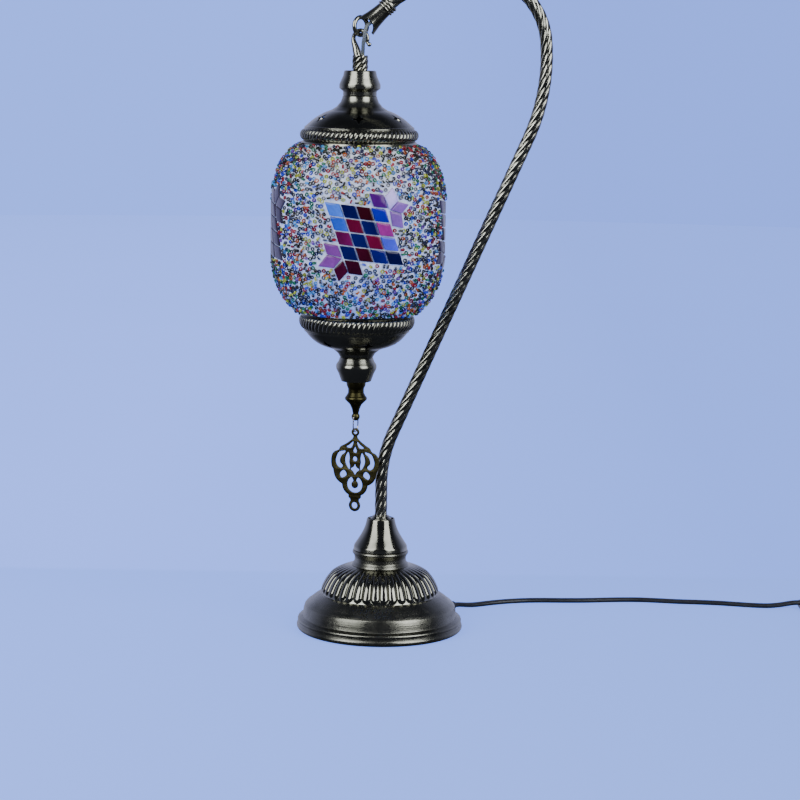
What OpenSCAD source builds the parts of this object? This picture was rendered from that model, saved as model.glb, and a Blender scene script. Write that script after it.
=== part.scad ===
/* [Base] */
// Outer radius of the rolled rim at the bottom of the skirt
rim_r = 63.4; // [62:0.2:66]
// Height of the gap between the table and the rim
rim_z = 0.4; // [0.3:0.1:0.8]
// Thickness of the spun brass sheet
sheet = 0.9; // [0.7:0.1:1.1]
// Radius of the cast iron ballast disc
ballast_r = 47; // [40:1:48]

/* [Arm] */
// Outer radius of the arm tube
arm_r = 4.8; // [4.4:0.1:4.8]
// Inner radius of the arm tube
arm_bore_r = 3.3; // [2.6:0.1:3.4]
// Length of the straight stretch that leans away from the base
arm_lean_length = 244; // [240:1:248]

/* [Lantern] */
// Distance of the lantern's axis from the base's axis, towards -X
lantern_offset = 20.2; // [19.8:0.1:20.6]
// Largest radius of the glass globe
glass_r = 63.2; // [62:0.1:63.6]
// Thickness of the globe's glass
glass_wall = 3; // [2:0.5:4]
// Height of the beads and grout above the glass
skin_height = 1.8; // [1.2:0.1:2.2]

/* [Mosaic] */
// Width of a tile column, across
tile_w = 10.2; // [9:0.1:10.2]
// Height of a tile, down its column
tile_h = 9.5; // [9:0.1:10]
// Gap between tiles
tile_gap = 0.9; // [0.6:0.1:1.4]

/* [Charm] */
// Turn of the charm about the vertical
charm_yaw = -24; // [-26:1:-22]
// Thickness of the charm's plate
charm_plate_t = 1.2; // [1.1:0.1:1.3]

/* [Cord] */
// Width of the flat flex
cord_w = 5.8; // [5.2:0.1:5.8]
// Thickness of the flat flex
cord_t = 3.4; // [3:0.1:3.4]
// Radius of the coil at the middle of its turns
coil_r = 32.4; // [32:0.1:33]

/* [Hidden] */
$fn = 64;

// Colours
brass = [0.30, 0.26, 0.18];
dark_brass = [0.22, 0.20, 0.15];
steel = [0.55, 0.55, 0.56];
black = [0.06, 0.06, 0.07];
white = [0.88, 0.87, 0.83];

// Base: heights of the seats between the stacked turned pieces, from the table up
pad_t = 1.2;
plate_t = 1.4;
plate_dish_z = 6;
dome_z = 28;
collar_z = 50;
cone_z = 62;
cone_top_z = 85.8;
tie_r = 5;
fit = 0.05;

// Arm: each stretch is a straight length, or an arc with its radius and its turn (left is positive)
arm_foot_z = 75;
arm_rise = 38;
arm_path = [
    [arm_rise], [97, -23.6], [arm_lean_length], [146, 29], [53, 82.5], [95, 45]
];
arm_start = [0, arm_foot_z, 90];
arm_end = walk(len(arm_path));
lead_r = 1.4;

// Hanging eye and hook, both round wire
eye_wire_r = 1.7;
eye_r = 6.5;
eye_z = 456.4;
eye_yaw = 45;
hook_wire_r = 1.45;
hook_r = 6.4;
hook_gap = 0.3;
hook_yaw = -35;
eye_bar_z = eye_z - eye_r;
hook_z = eye_bar_z + eye_wire_r + hook_wire_r + hook_gap - hook_r;

// Lantern: heights of its stacked pieces
lx = -lantern_offset;
stem_z = 424;
stem_h = 11;
stem_r = 4.75;
lead_offset = 2;
cup_z = 405;
cap_rim_z = 368;
globe_bottom_z = 243;
holder_neck_z = 209.5;
cup_bottom_z = 191.2;
ball_z = 164;
ball_r = 3.2;
rod_r = 3;
nipple_r = 5;
nipple_bore_r = 3.6;

// Mosaic panel: height of its middle, lean of its columns, fall of a row from one column to the next,
// and the lowest and highest row of each column
panel_z = 307.5;
panel_shear = 19;
row_fall = 1.2;
columns = [[-2.5, 1.5], [-1.5, 1.5], [-1.5, 1.5], [-1.5, 2.5]];
panel_yaws = [-85, 5, 95, 185];

// Charm
charm_ring_z = 152;
charm_hole_r = 1.5;
charm_bottom_ring_z = 95.5;
link_wire_r = 0.5;

// Cord: middle of the flex from the bush to the switch, from the switch to the coil, and on to the plug
bush_yaw = 45;
bush_z = 4.6;
bush_end_r = 83;
run_route = [
    [58.7, 58.7, 4.6], [62, 62, 4.3], [66, 65.4, 3.4], [71, 69.2, 2.4], [77, 73.2, 1.8],
    [85, 78, 1.7], [94, 82.6, 1.7], [104, 86.6, 1.7], [117, 90, 1.7], [131, 91.6, 1.7],
    [147, 92, 1.7], [165, 93.2, 1.7], [180, 95.4, 1.7], [195, 97.4, 1.7], [210, 98, 1.7],
    [225, 96.2, 1.7], [240, 93.8, 1.7], [257, 92.4, 1.7], [273, 90.4, 1.7], [288, 87, 1.7],
    [301, 84.2, 1.7], [312, 82.8, 1.9], [321, 82.2, 2.9], [329, 82, 4.3], [337, 82, 5]
];
link_route = [
    [399, 82, 5], [402, 81.9, 4.8], [405, 81.7, 4.3], [408, 81.4, 3.7], [411, 81, 3.1], [414, 80.5, 2.5]
];
tail_route = [[432, 1.8, 8.56], [424, 1.8, 8.56], [415, 1.8, 8.5], [404, 1.8, 7.6], [393, 1.8, 7]];
coil_centre = [432, 40];
coil_clear = 0.15;
switch_x = 337;
switch_l = 62;
switch_w = 27;
switch_y = 82;
switch_split_z = 5;
switch_h = 16;
rocker_pivot_z = 14;
plug_rear_x = 393;
plug_l = 36;
plug_y = 1.8;
plug_z = 7;
pin_r = 2;
pin_l = 19;
pin_spacing = 18.6;

// Points along a cubic curve from a to d, and their copies moved by the wall
function bez(a, b, c, d, n = 8) = [
    for (i = [0:n]) let (t = i / n, s = 1 - t)
        s * s * s * a + 3 * s * s * t * b + 3 * s * t * t * c + t * t * t * d
];
function arc(x, z, r, from, to, n = 6) = [
    for (i = [0:n]) let (a = from + (to - from) * i / n) [x + r * cos(a), z + r * sin(a)]
];
function shifted(points, d) = [for (i = [len(points) - 1:-1:0]) points[i] + d];

// Place and heading after a number of stretches of the arm
function arc_side(stretch) = sign(stretch[1]);
function after(p, s) = len(s) == 1
    ? [p[0] + s[0] * cos(p[2]), p[1] + s[0] * sin(p[2]), p[2]]
    : [
        p[0] + arc_side(s) * s[0] * (sin(p[2] + s[1]) - sin(p[2])),
        p[1] - arc_side(s) * s[0] * (cos(p[2] + s[1]) - cos(p[2])),
        p[2] + s[1]
    ];
function walk(i) = i == 0 ? arm_start : after(walk(i - 1), arm_path[i - 1]);

// A turned piece: the outline's points are [radius, height]
module turned(outline) { rotate_extrude() polygon(outline); }

// A turned sheet, its inner face the outer one moved in and down by the wall, with a level foot
module spun(outer) {
    above = [for (i = [1:len(outer) - 1]) outer[i]];
    turned(concat(outer, shifted(above, [-sheet, -sheet]), [outer[0] - [sheet, 0]]));
}

module drilled(r, z0, z1) {
    difference() {
        children();
        translate([0, 0, z0]) cylinder(r = r, h = z1 - z0);
    }
}

module hex_nut(across, h, bore_r) {
    difference() {
        cylinder(r = across / 2 / cos(30), h = h, $fn = 6);
        translate([0, 0, -1]) cylinder(r = bore_r, h = h + 2);
    }
}

module rod_between(a, b, r1, r2) {
    d = b - a;
    l = norm(d);
    translate(a) rotate([0, acos(d[2] / l), atan2(d[1], d[0])]) cylinder(r1 = r1, r2 = r2, h = l);
}

// Places along the arm: both ends of a straight stretch, and every few degrees of an arc
arc_step = 7;
function arm_places() = [
    for (i = [0:len(arm_path) - 1]) let (p = walk(i), s = arm_path[i])
        if (len(s) == 2) let (n = ceil(abs(s[1]) / arc_step))
            for (k = [0:n]) let (q = after(p, [s[0], s[1] * max(k, 0.001) / n])) [q[0], 0, q[1]]
];
arm_line = concat([[arm_start[0], 0, arm_start[1]]], arm_places());

// One ring of points round a route's place i; ref is square to the route and sets the ring's width
function heading(route, i) = route[min(i + 1, len(route) - 1)] - route[max(i - 1, 0)];
function ring(route, i, w, t, ref, sides) = let (
    d = heading(route, i),
    across = cross(ref, d) / norm(cross(ref, d)),
    up = cross(d / norm(d), across)
) [
    for (k = [0:sides - 1])
        route[i] + across * w / 2 * cos(360 * k / sides) + up * t / 2 * sin(360 * k / sides)
];
function walls(n, sides, start, flip) = [
    for (i = [0:n - 2], k = [0:sides - 1])
        let (a = start + i * sides + k, b = start + i * sides + (k + 1) % sides)
        flip ? [a, b, b + sides, a + sides] : [a, a + sides, b + sides, b]
];

// A solid lead swept along a route, w wide and t thick
module swept(route, w, t, ref, sides = 8) {
    n = len(route);
    first = [for (k = [0:sides - 1]) k];
    last = [for (k = [sides - 1:-1:0]) (n - 1) * sides + k];
    polyhedron([for (i = [0:n - 1]) each ring(route, i, w, t, ref, sides)],
        concat(walls(n, sides, 0, false), [first, last]));
}

// A tube swept along a route
module swept_tube(route, r, bore_r, ref, sides) {
    n = len(route);
    inner = n * sides;
    end = (n - 1) * sides;
    caps = [
        for (k = [0:sides - 1]) let (j = (k + 1) % sides)
            each [[k, j, inner + j, inner + k], [end + j, end + k, inner + end + k, inner + end + j]]
    ];
    polyhedron(
        concat(
            [for (i = [0:n - 1]) each ring(route, i, 2 * r, 2 * r, ref, sides)],
            [for (i = [0:n - 1]) each ring(route, i, 2 * bore_r, 2 * bore_r, ref, sides)]
        ),
        concat(walls(n, sides, 0, false), walls(n, sides, inner, true), caps)
    );
}

// ---- Stand ----

module base_pad() {
    color([0.12, 0.12, 0.12]) difference() {
        cylinder(r = rim_r - 5.4, h = pad_t);
        translate([0, 0, -1]) cylinder(r = 14, h = pad_t + 2);
    }
}

module base_plate() {
    color(steel) turned([
        [tie_r + fit, plate_dish_z], [13, plate_dish_z], [15, pad_t + plate_t], [15, pad_t],
        [rim_r - 3.4, pad_t], [rim_r - 3.4, pad_t + plate_t], [16.5, pad_t + plate_t],
        [14, plate_dish_z + plate_t], [tie_r + fit, plate_dish_z + plate_t]
    ]);
}

module ballast_disc() {
    color([0.2, 0.2, 0.2]) difference() {
        turned([
            [18, pad_t + plate_t], [ballast_r - 1, pad_t + plate_t], [ballast_r, pad_t + plate_t + 1],
            [ballast_r, 13], [ballast_r - 1, 14], [18, 14]
        ]);
        for (side = [-1, 1]) rotate([0, 0, bush_yaw]) translate([34, 5.5 * side, 7]) cylinder(r = 1.3, h = 8);
    }
}

// Rolled rim, two rings, plain band and the sloping shoulder up to the dome
skirt_outline = concat(
    [[rim_r - 2.4, rim_z]],
    arc(rim_r - 2.6, rim_z + 2.6, 2.6, -80, 50),
    arc(rim_r - 2.4, 7.6, 1.7, -40, 70, 4),
    [[60.2, 9.6], [58.9, 10.2], [58.6, 12.2], [58.2, 15.6], [57.4, 18.6], [55.6, 20.6]],
    bez([54, 21.6], [52, 23.4], [49, 26], [44.5, dome_z], 5)
);

skirt_inner = concat(
    bez([43.4, dome_z], [48.2, 25.2], [51.2, 22.6], [53.2, 20.8], 5),
    [
        [54.8, 19.8], [56.4, 17.8], [57.2, 15.2], [57.5, 12], [57.8, 9.8], [59, 8.8], [60.05, 7.6],
        [60.05, rim_z]
    ]
);

module base_skirt() {
    color(brass) difference() {
        turned(concat(skirt_outline, skirt_inner));
        rotate([0, 0, bush_yaw]) translate([rim_r - 8, 0, bush_z]) rotate([0, 90, 0])
            cylinder(r = 3.6, h = 12);
    }
}

module fluted_dome() {
    color(brass) spun(bez([44.4, dome_z + 0.05], [41, 37.5], [36, 47], [21.5, collar_z - 0.05], 10));
}

module neck_collar() {
    color(brass) drilled(16.5, collar_z - 1, cone_z + 2) turned(concat(
        [[0, collar_z], [22, collar_z]],
        [[21, 51.4], [19.8, 53], [19.6, 56], [20, 57.2]],
        arc(19.4, 60, 1.9, -60, 75, 6),
        [[18.6, cone_z], [0, cone_z]]
    ));
}

module base_cone() {
    color(brass) {
        spun(concat([[20.6, cone_z + 0.05]], bez([20.2, 65], [17, 70.5], [12, 76], [10.6, cone_top_z], 9)));
        difference() {
            translate([0, 0, cone_top_z - 2.4]) cylinder(r = 10.2, h = 1.8);
            translate([0, 0, cone_top_z - 3]) cylinder(r = arm_r + fit, h = 4);
        }
    }
}

module tie_tube() {
    color(steel) drilled(3.6, 0, 80) difference() {
        translate([0, 0, 1.6]) cylinder(r = tie_r, h = arm_foot_z - 1.8);
        rotate([0, 0, bush_yaw]) translate([0, 0, 18]) rotate([0, 90, 0]) cylinder(r = 2.2, h = 8);
    }
}

module tie_washer() {
    color(steel) translate([0, 0, plate_dish_z - 1.05]) difference() {
        cylinder(r = 10, h = 1);
        translate([0, 0, -1]) cylinder(r = tie_r + fit, h = 3);
    }
}

module tie_nut() {
    color(steel) translate([0, 0, 1.9]) hex_nut(14, 3, tie_r + fit);
}

module arm_coupler() {
    color(steel) difference() {
        translate([0, 0, 66]) cylinder(r = 7.4, h = 16);
        translate([0, 0, 65]) cylinder(r = tie_r + fit, h = arm_foot_z - 65.1);
        translate([0, 0, arm_foot_z - 0.1]) cylinder(r = arm_r + fit, h = 10);
    }
}

module arm_collar() {
    color(dark_brass) drilled(arm_r + fit, 80, 92) turned([
        [0, cone_top_z - 0.55], [8, cone_top_z - 0.55], [8, cone_top_z + 0.2], [6.6, cone_top_z + 0.8],
        [6.6, cone_top_z + 1.8], [6, cone_top_z + 2.2], [0, cone_top_z + 2.2]
    ]);
}

module arm_tube() {
    color(brass) swept_tube(arm_line, arm_r, arm_bore_r, [0, 1, 0], 12);
}

module arm_lead() {
    color([0.45, 0.46, 0.42]) swept(arm_line, 2 * lead_r, 2 * lead_r, [0, 1, 0]);
}

module at_arm_end() { translate([arm_end[0], 0, arm_end[1]]) rotate([0, 90 - arm_end[2], 0]) children(); }

// Ferrule with three rings, then a flared bell whose mouth is cut away in front and behind
socket_mouth = 20.6;
module arm_end_socket() {
    color(dark_brass) at_arm_end() difference() {
        union() {
            turned(concat(
                [[arm_r + fit, -5], [6, -5]],
                arc(6, -3.6, 0.9, -80, 80, 4), arc(6, -1.4, 0.9, -80, 80, 4), arc(6, 0.8, 0.9, -80, 80, 4),
                [[5.8, 2], [6.2, 7], [7, 13], [8.7, socket_mouth], [7.9, socket_mouth], [6.2, 13],
                [5.2, 7], [4.4, 2.6], [2.4, 1.2], [2.4, 0.2], [arm_r + fit, 0.2]]
            ));
        }
        for (side = [-1, 1]) translate([0, side * 14, socket_mouth + 1]) rotate([0, 90, 0])
            cylinder(r = 9.5, h = 30, center = true);
    }
}

module arm_eye() {
    color(dark_brass) {
        translate([lx, 0, eye_z]) rotate([0, 0, eye_yaw]) rotate([90, 0, 0])
            rotate_extrude() translate([eye_r, 0]) circle(r = eye_wire_r);
        at_arm_end() translate([3.6, 0, 10]) cylinder(r = 1.5, h = 6.4);
    }
}

// Lead inside the base: from the bush over the ballast and into the tie tube's side hole
function at_bush(r, z) = [r * cos(bush_yaw), r * sin(bush_yaw), z];
module base_lead() {
    color(black) swept([
        at_bush(58.4, bush_z), at_bush(55, bush_z + 0.2), at_bush(52, 6.4), at_bush(50.8, 10),
        at_bush(49.8, 13.4), at_bush(47.4, 16), at_bush(43, 16.8), at_bush(36, 16.6), at_bush(28, 16.6),
        at_bush(16, 17.4),
        at_bush(8, 18), at_bush(4, 18.6), at_bush(1.6, 20.6), at_bush(0.4, 24), at_bush(0.05, 30),
        at_bush(0.01, arm_foot_z - 0.1)
    ], 3, 3, [-sin(bush_yaw), cos(bush_yaw), 0]);
}

module lead_clamp() {
    color(steel) rotate([0, 0, bush_yaw]) difference() {
        translate([30, -8.5, 14.05]) cube([8, 17, 5.5]);
        translate([29, -2.2, 13]) cube([10, 4.4, 5.4]);
        for (side = [-1, 1]) {
            translate([34, 5.5 * side, 13]) cylinder(r = 1.6, h = 8);
            translate([29, side > 0 ? 3.2 : -9.5, 15.6]) cube([10, 6.3, 6]);
        }
    }
}

module clamp_screws() {
    color(steel) for (side = [-1, 1]) rotate([0, 0, bush_yaw]) translate([34, 5.5 * side, 0]) {
        translate([0, 0, 8]) cylinder(r = 1.25, h = 8);
        translate([0, 0, 15.65]) cylinder(r = 2.2, h = 1.4);
    }
}

// Rubber bush in the skirt with a tapered sleeve round the flex
module cord_bush() {
    color(black) rotate([0, 0, bush_yaw]) translate([0, 0, bush_z]) rotate([0, 90, 0]) difference() {
        union() {
            translate([0, 0, 60.1]) cylinder(r = 3.5, h = 5);
            translate([0, 0, 64.2]) cylinder(r1 = 4.2, r2 = 3.3, h = bush_end_r - 64.2);
        }
        translate([0, 0, 58.5]) cylinder(r = 1.8, h = bush_end_r - 60.5);
    }
}

// ---- Lantern ----

module lantern_hook() {
    tip = [hook_r * cos(-20), hook_r * sin(-20)];
    heel = [hook_r * cos(200), hook_r * sin(200)];
    color(dark_brass) translate([lx, 0, hook_z]) rotate([0, 0, hook_yaw]) rotate([90, 0, 0]) {
        rotate([0, 0, -20]) rotate_extrude(angle = 220) translate([hook_r, 0]) circle(r = hook_wire_r);
        translate([tip[0], tip[1], 0]) sphere(r = 1.6);
        rod_between([tip[0], tip[1], 0], [8, -3.9, 0], 1.3, 1.2);
        translate([8, -3.9, 0]) sphere(r = 1.7);
        translate([heel[0], heel[1], 0]) sphere(r = 1.9);
        rod_between([heel[0], heel[1], 0], [-2.2, stem_z + stem_h - 0.8 - hook_z, 0], 1.7, 2);
    }
}

module at_lantern(z = 0) { translate([lx, 0, z]) children(); }

module beside_axis() { rotate([0, 0, hook_yaw]) translate([lead_offset, 0, 0]) children(); }

module twist_stem() {
    color(dark_brass) at_lantern(stem_z) difference() {
        cylinder(r = stem_r, h = stem_h);
        beside_axis() translate([0, 0, -1]) cylinder(r = 1.6, h = stem_h + 2);
    }
}

module top_cup() {
    color(brass) at_lantern() difference() {
        turned([
            [0, cup_z], [12.6, cup_z], [12.6, 408.5], [15.4, 410.6], [15.4, 413.6], [13.7, 417.5],
            [12.6, 420], [11.9, stem_z - 0.6], [11, stem_z - 0.05], [0, stem_z - 0.05]
        ]);
        translate([0, 0, cup_z - 1]) cylinder(r = nipple_r + fit, h = 17);
        beside_axis() translate([0, 0, cup_z]) cylinder(r = 1.6, h = 30);
    }
}

// Neck, pierced dome, gadrooned rim and the plain band that sits on the glass
cap_outline = concat(
    [[41.6, cap_rim_z + 0.1], [42.4, cap_rim_z + 0.1], [42.4, 371.6]],
    arc(39.2, 376.3, 4.5, -52, 62, 6),
    bez([40, 382.6], [37, 385.4], [31, 391.4], [21, 394.6], 7),
    [[17.2, 397], [14.4, 400.4], [12.9, cup_z - 0.05], [nipple_r + fit, cup_z - 0.05]]
);
cap_inner = concat(
    [[nipple_r + fit, cup_z - 1.2], [11.8, cup_z - 1.2], [13.2, 399.8], [16.4, 395.8]],
    bez([20.6, 393.2], [30.2, 390], [36, 384.2], [38.8, 381], 7),
    [[41.4, 376.3], [39.6, 372.6], [38.8, 371], [41.6, 371]]
);
vent_r = 2.6;
module vents(z, radius, phase, tilt) {
    for (i = [0:5]) rotate([0, 0, 60 * i + phase]) translate([radius, 0, z]) rotate([0, tilt, 0])
        cylinder(r = vent_r, h = 14, center = true);
}

module top_cap() {
    color(brass) at_lantern() difference() {
        turned(concat(cap_outline, cap_inner));
        vents(388.4, 31.6, -90, 45);
    }
}

module holder_nipple() {
    color(steel) at_lantern(388) difference() {
        cylinder(r = nipple_r, h = 33);
        translate([0, 0, -1]) cylinder(r = nipple_bore_r, h = 35);
    }
}

module cap_washer() {
    color(steel) at_lantern(cup_z - 2.4) difference() {
        cylinder(r = 9, h = 1.1);
        translate([0, 0, -1]) cylinder(r = nipple_r + fit, h = 3);
    }
}

module cap_nut() {
    color(steel) at_lantern(cup_z - 5.5) hex_nut(14, 3, nipple_r + fit);
}

// Outline of the glass from its upper opening down to its lower one, on radius r
glass_curve = concat(
    bez([44, 367.6], [51, 366], [glass_r - 1.2, 352], [glass_r, 330], 10),
    bez([glass_r, 284], [glass_r - 1.7, 268], [glass_r - 8.7, 251], [41, globe_bottom_z], 10)
);
function inward(points, d) = [
    for (i = [len(points) - 1:-1:0]) let (
        t = points[min(i + 1, len(points) - 1)] - points[max(i - 1, 0)],
        n = [t[1], -t[0]] / norm(t)
    ) points[i] + n * d
];

module globe_glass() {
    color([0.9, 0.9, 0.92]) at_lantern() turned(concat(
        [[40, 367.9]], glass_curve, [[38, globe_bottom_z]], inward(glass_curve, glass_wall)
    ));
}

// The skin stops short of the bottom holder's band
skin_curve = concat([for (i = [0:len(glass_curve) - 2]) glass_curve[i]], [[43.7, 244.8]]);
module skin_shell() {
    outer = inward(skin_curve, -skin_height);
    turned(concat(inward(skin_curve, -0.03), [for (i = [len(outer) - 1:-1:0]) outer[i]]));
}

// A place on the panel's leaning grid, counted in tiles from its middle
pitch_x = tile_w + tile_gap;
pitch_z = tile_h + tile_gap;
function place(column, row) = [
    column * pitch_x - tan(panel_shear) * row * pitch_z, row * pitch_z - column * row_fall
];

module tile_outlines() {
    dx = tile_w / 2 / pitch_x;
    dz = tile_h / 2 / pitch_z;
    for (c = [0:3]) for (row = [columns[c][0]:columns[c][1]]) let (m = c - 1.5)
        polygon([
            place(m - dx, row - dz), place(m + dx, row - dz), place(m + dx, row + dz), place(m - dx, row + dz)
        ]);
}

// The panel's pocket: four columns, the first one tile longer at its foot and the last at its head
module pocket_outline() {
    polygon([
        place(-2, -3), place(-1, -3), place(-1, -2), place(2, -2), place(2, 3), place(1, 3), place(1, 2),
        place(-2, 2)
    ]);
}

module panel_block(yaw) {
    rotate([0, 0, yaw + 90]) translate([0, -40, panel_z]) rotate([90, 0, 0]) linear_extrude(40) children();
}

module bead_skin() {
    color([0.62, 0.63, 0.66]) at_lantern() difference() {
        skin_shell();
        for (yaw = panel_yaws) panel_block(yaw) pocket_outline();
    }
}

module tile_panel(yaw, tint) {
    color(tint) at_lantern() intersection() {
        skin_shell();
        panel_block(yaw) tile_outlines();
    }
}

module tiles_front() { tile_panel(panel_yaws[0], [0.16, 0.16, 0.42]); }
module tiles_right() { tile_panel(panel_yaws[1], [0.36, 0.10, 0.26]); }
module tiles_back() { tile_panel(panel_yaws[2], [0.16, 0.16, 0.42]); }
module tiles_left() { tile_panel(panel_yaws[3], [0.36, 0.10, 0.26]); }

module plaster_top() {
    color(white) at_lantern() turned([[38.9, 368.1], [41.4, 368.2], [41.4, 370.9], [38.9, 370.9]]);
}

module plaster_bottom() {
    color(white) at_lantern() turned([[36.6, 239.6], [40.6, 239.6], [40.6, 242.8], [36.6, 242.8]]);
}

// Plain band under the glass, gadrooned roll, pierced bowl and neck
bowl_outline = concat(
    [[41.8, 242.9], [42.8, 242.9], [42.8, 237.6]],
    arc(39, 234.6, 3.2, 40, -52, 5),
    bez([38.6, 230.6], [34, 223.6], [29, 219.6], [20.8, 218.8], 7),
    [[16.9, 216], [13.9, 212.6], [12.4, holder_neck_z], [rod_r + fit, holder_neck_z]]
);
bowl_inner = concat(
    [[rod_r + fit, holder_neck_z + 1.2], [11.6, holder_neck_z + 1.2], [12.9, 213.2], [16.3, 217]],
    bez([20.4, 219.8], [28.4, 220.6], [33, 224.4], [37.8, 231.4], 7),
    [[40.4, 233.4], [40.4, 235.8], [38.4, 238.6], [38.4, 239.5], [41.8, 239.5]]
);

module bottom_holder() {
    color(brass) at_lantern() difference() {
        turned(concat(bowl_outline, bowl_inner));
        vents(221.6, 30.6, -74, -45);
    }
}

module bottom_cup() {
    color(brass) at_lantern() drilled(rod_r + fit, 190, 212) turned([
        [0, cup_bottom_z], [11.3, cup_bottom_z], [12.4, 194.2], [13.5, 197.3], [15.1, 200.4],
        [15.5, 202.2], [15.2, 204], [13.5, 206.6], [12.6, holder_neck_z - 0.05], [0, holder_neck_z - 0.05]
    ]);
}

// Finial: neck, disc, taper and a drilled ball
module finial() {
    color(dark_brass) at_lantern() difference() {
        union() {
            turned(concat(
                [[0, cup_bottom_z - 0.05], [7.6, cup_bottom_z - 0.05], [7.1, 188], [6, 185.4], [6, 182.4]],
                arc(6.4, 178, 2, 60, -60, 4),
                [[4.5, 173.4], [3, 170], [2.3, 166.8], [0, 166.8]]
            ));
            translate([0, 0, ball_z]) sphere(r = ball_r);
        }
        translate([0, 0, 176]) cylinder(r = rod_r + fit, h = 20);
        translate([0, 0, ball_z]) rotate([0, 0, charm_yaw]) rotate([90, 0, 0])
            cylinder(r = 0.9, h = 10, center = true);
    }
}

module finial_rod() {
    color(steel) at_lantern(176.4) cylinder(r = rod_r, h = 40);
}

module finial_nut() {
    color(steel) at_lantern(holder_neck_z + 1.3) hex_nut(10, 4.6, rod_r + fit);
}

module lamp_holder_cap() {
    color(black) at_lantern() drilled(nipple_r + fit, 380, 400) turned([
        [0, 389.6], [12.8, 389.6], [12.8, 384.2], [14.2, 384.2], [14.2, 390], [12, 394], [8.6, 396.4],
        [8.6, 399], [0, 399]
    ]);
}

module lamp_holder_sleeve() {
    color(black) at_lantern() turned([
        [11.2, 346], [14.2, 346], [14.2, 384.1], [12.7, 384.1], [12.7, 350], [11.2, 350]
    ]);
}

module lamp_holder_core() {
    color(white) at_lantern() turned([
        [7.2, 351], [10.8, 351], [10.8, 382], [3.4, 382], [3.4, 377.6], [7.2, 377.6]
    ]);
}

module bulb_cap() {
    color(steel) at_lantern() turned([
        [0, 376.6], [2.6, 376.6], [4, 374.6], [6.9, 373], [6.9, 350.6], [5.9, 350.6], [5.9, 372.2], [0, 374]
    ]);
}

// Candle bulb, hanging with its tip down
bulb_curve = bez([5.6, 350.2], [24.5, 338], [17, 290], [1.4, 277], 14);
module bulb_glass() {
    color([0.95, 0.95, 0.9]) at_lantern() turned(concat(bulb_curve, [
        for (i = [14:-1:0]) [max(bulb_curve[i][0] - 0.8, 0.2), bulb_curve[i][1] + (i > 9 ? 0.8 : 0)]
    ]));
}

module bulb_stem() {
    color([0.95, 0.8, 0.4]) at_lantern() {
        translate([0, 0, 332]) cylinder(r1 = 1.6, r2 = 4, h = 39);
        for (i = [0:3]) rotate([0, 0, 90 * i]) rod_between([1.4, 0, 333], [6, 0, 302], 0.7, 0.7);
    }
}

// Straight lead from the top of the stem through the nipple into the lamp holder's cap
module lantern_lead() {
    color([0.45, 0.46, 0.42]) at_lantern() beside_axis()
        translate([0, 0, 383]) cylinder(r = lead_r, h = stem_z + stem_h - 383);
}

// Lead that bridges the swinging joint, from inside the bell to the top of the stem
module hanging_lead() {
    stem_top = [lx + lead_offset * cos(hook_yaw), lead_offset * sin(hook_yaw), stem_z + stem_h];
    u = [cos(arm_end[2]), 0, sin(arm_end[2])];
    e = [arm_end[0], 0, arm_end[1]];
    color([0.45, 0.46, 0.42]) swept([
        e + u * 0.4, e + u * 3 + [0, -0.3, 0], e + u * 7 + [0.2, -1.5, -0.2], e + u * 13 + [0.6, -3.4, -0.6],
        [-15.3, -4.6, 457], [-16.4, -5.5, 454.4], [-17, -6.1, 451.4], [-17.4, -6, 448], [-18, -5.1, 444.6],
        [-18.2, -3.4, 441], [-18.3, -2, 438], stem_top + [0.1, 0, 1.2], stem_top + [0, 0, 0.05]
    ], 2 * lead_r, 2 * lead_r, [0, 1, 0]);
}

// ---- Charm ----

// Wire link through the finial's ball and the charm's top ring, in the plane across the charm
link_half_w = 4.2;
link_corner_r = 0.9;
module charm_link() {
    low = charm_ring_z + 0.5 + link_half_w;
    side = ball_z - link_corner_r - low;
    color(dark_brass) at_lantern() rotate([0, 0, charm_yaw + 90]) rotate([90, 0, 0]) {
        translate([0, low]) rotate([0, 0, 180]) rotate_extrude(angle = 180) translate([link_half_w, 0])
            circle(r = link_wire_r);
        for (s = [0, 1]) mirror([s, 0, 0]) {
            translate([link_half_w, low, 0]) rotate([-90, 0, 0]) cylinder(r = link_wire_r, h = side);
            translate([link_half_w - link_corner_r, low + side, 0]) rotate_extrude(angle = 90)
                translate([link_corner_r, 0]) circle(r = link_wire_r);
        }
        translate([link_corner_r - link_half_w, ball_z, 0]) rotate([0, 90, 0])
            cylinder(r = link_wire_r, h = 2 * (link_half_w - link_corner_r));
    }
}

// Half of the charm's outline, from the top ring round the lobes to the bottom ring
charm_half_w = 19.9;
module charm_outline() {
    for (s = [-1, 1]) {
        translate([s * (charm_half_w - 8.2), 129]) circle(r = 8.2);
        translate([s * 9.4, 140]) circle(r = 5.6);
        translate([s * 8.2, 117]) circle(r = 6.4);
        translate([s * 4.6, 107]) circle(r = 4.4);
    }
    translate([0, 145.6]) circle(r = 5);
    translate([0, 127]) circle(r = 15);
    translate([0, 103]) circle(r = 4.6);
    translate([0, charm_ring_z]) circle(r = 3.2);
    translate([0, charm_bottom_ring_z]) circle(r = 4.7);
    translate([-1.6, 147]) square([3.2, 4]);
}

module charm_openings() {
    translate([0, charm_ring_z]) circle(r = charm_hole_r);
    translate([0, charm_bottom_ring_z]) circle(r = 2.4);
    translate([0, 127]) circle(r = 2.2);
    translate([0, 134.4]) circle(r = 2.6);
    translate([0, 118]) circle(r = 2.6);
    translate([0, 109.6]) circle(r = 2.2);
    for (s = [-1, 1]) {
        translate([s * 5.6, 140.4]) circle(r = 2.2);
        translate([s * 12.4, 129]) intersection() {
            circle(r = 6);
            translate([s * 5, 0]) circle(r = 6.4);
        }
        translate([s * 6.6, 126.6]) circle(r = 1.9);
        translate([s * 8.4, 117]) circle(r = 2.6);
    }
}

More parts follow.
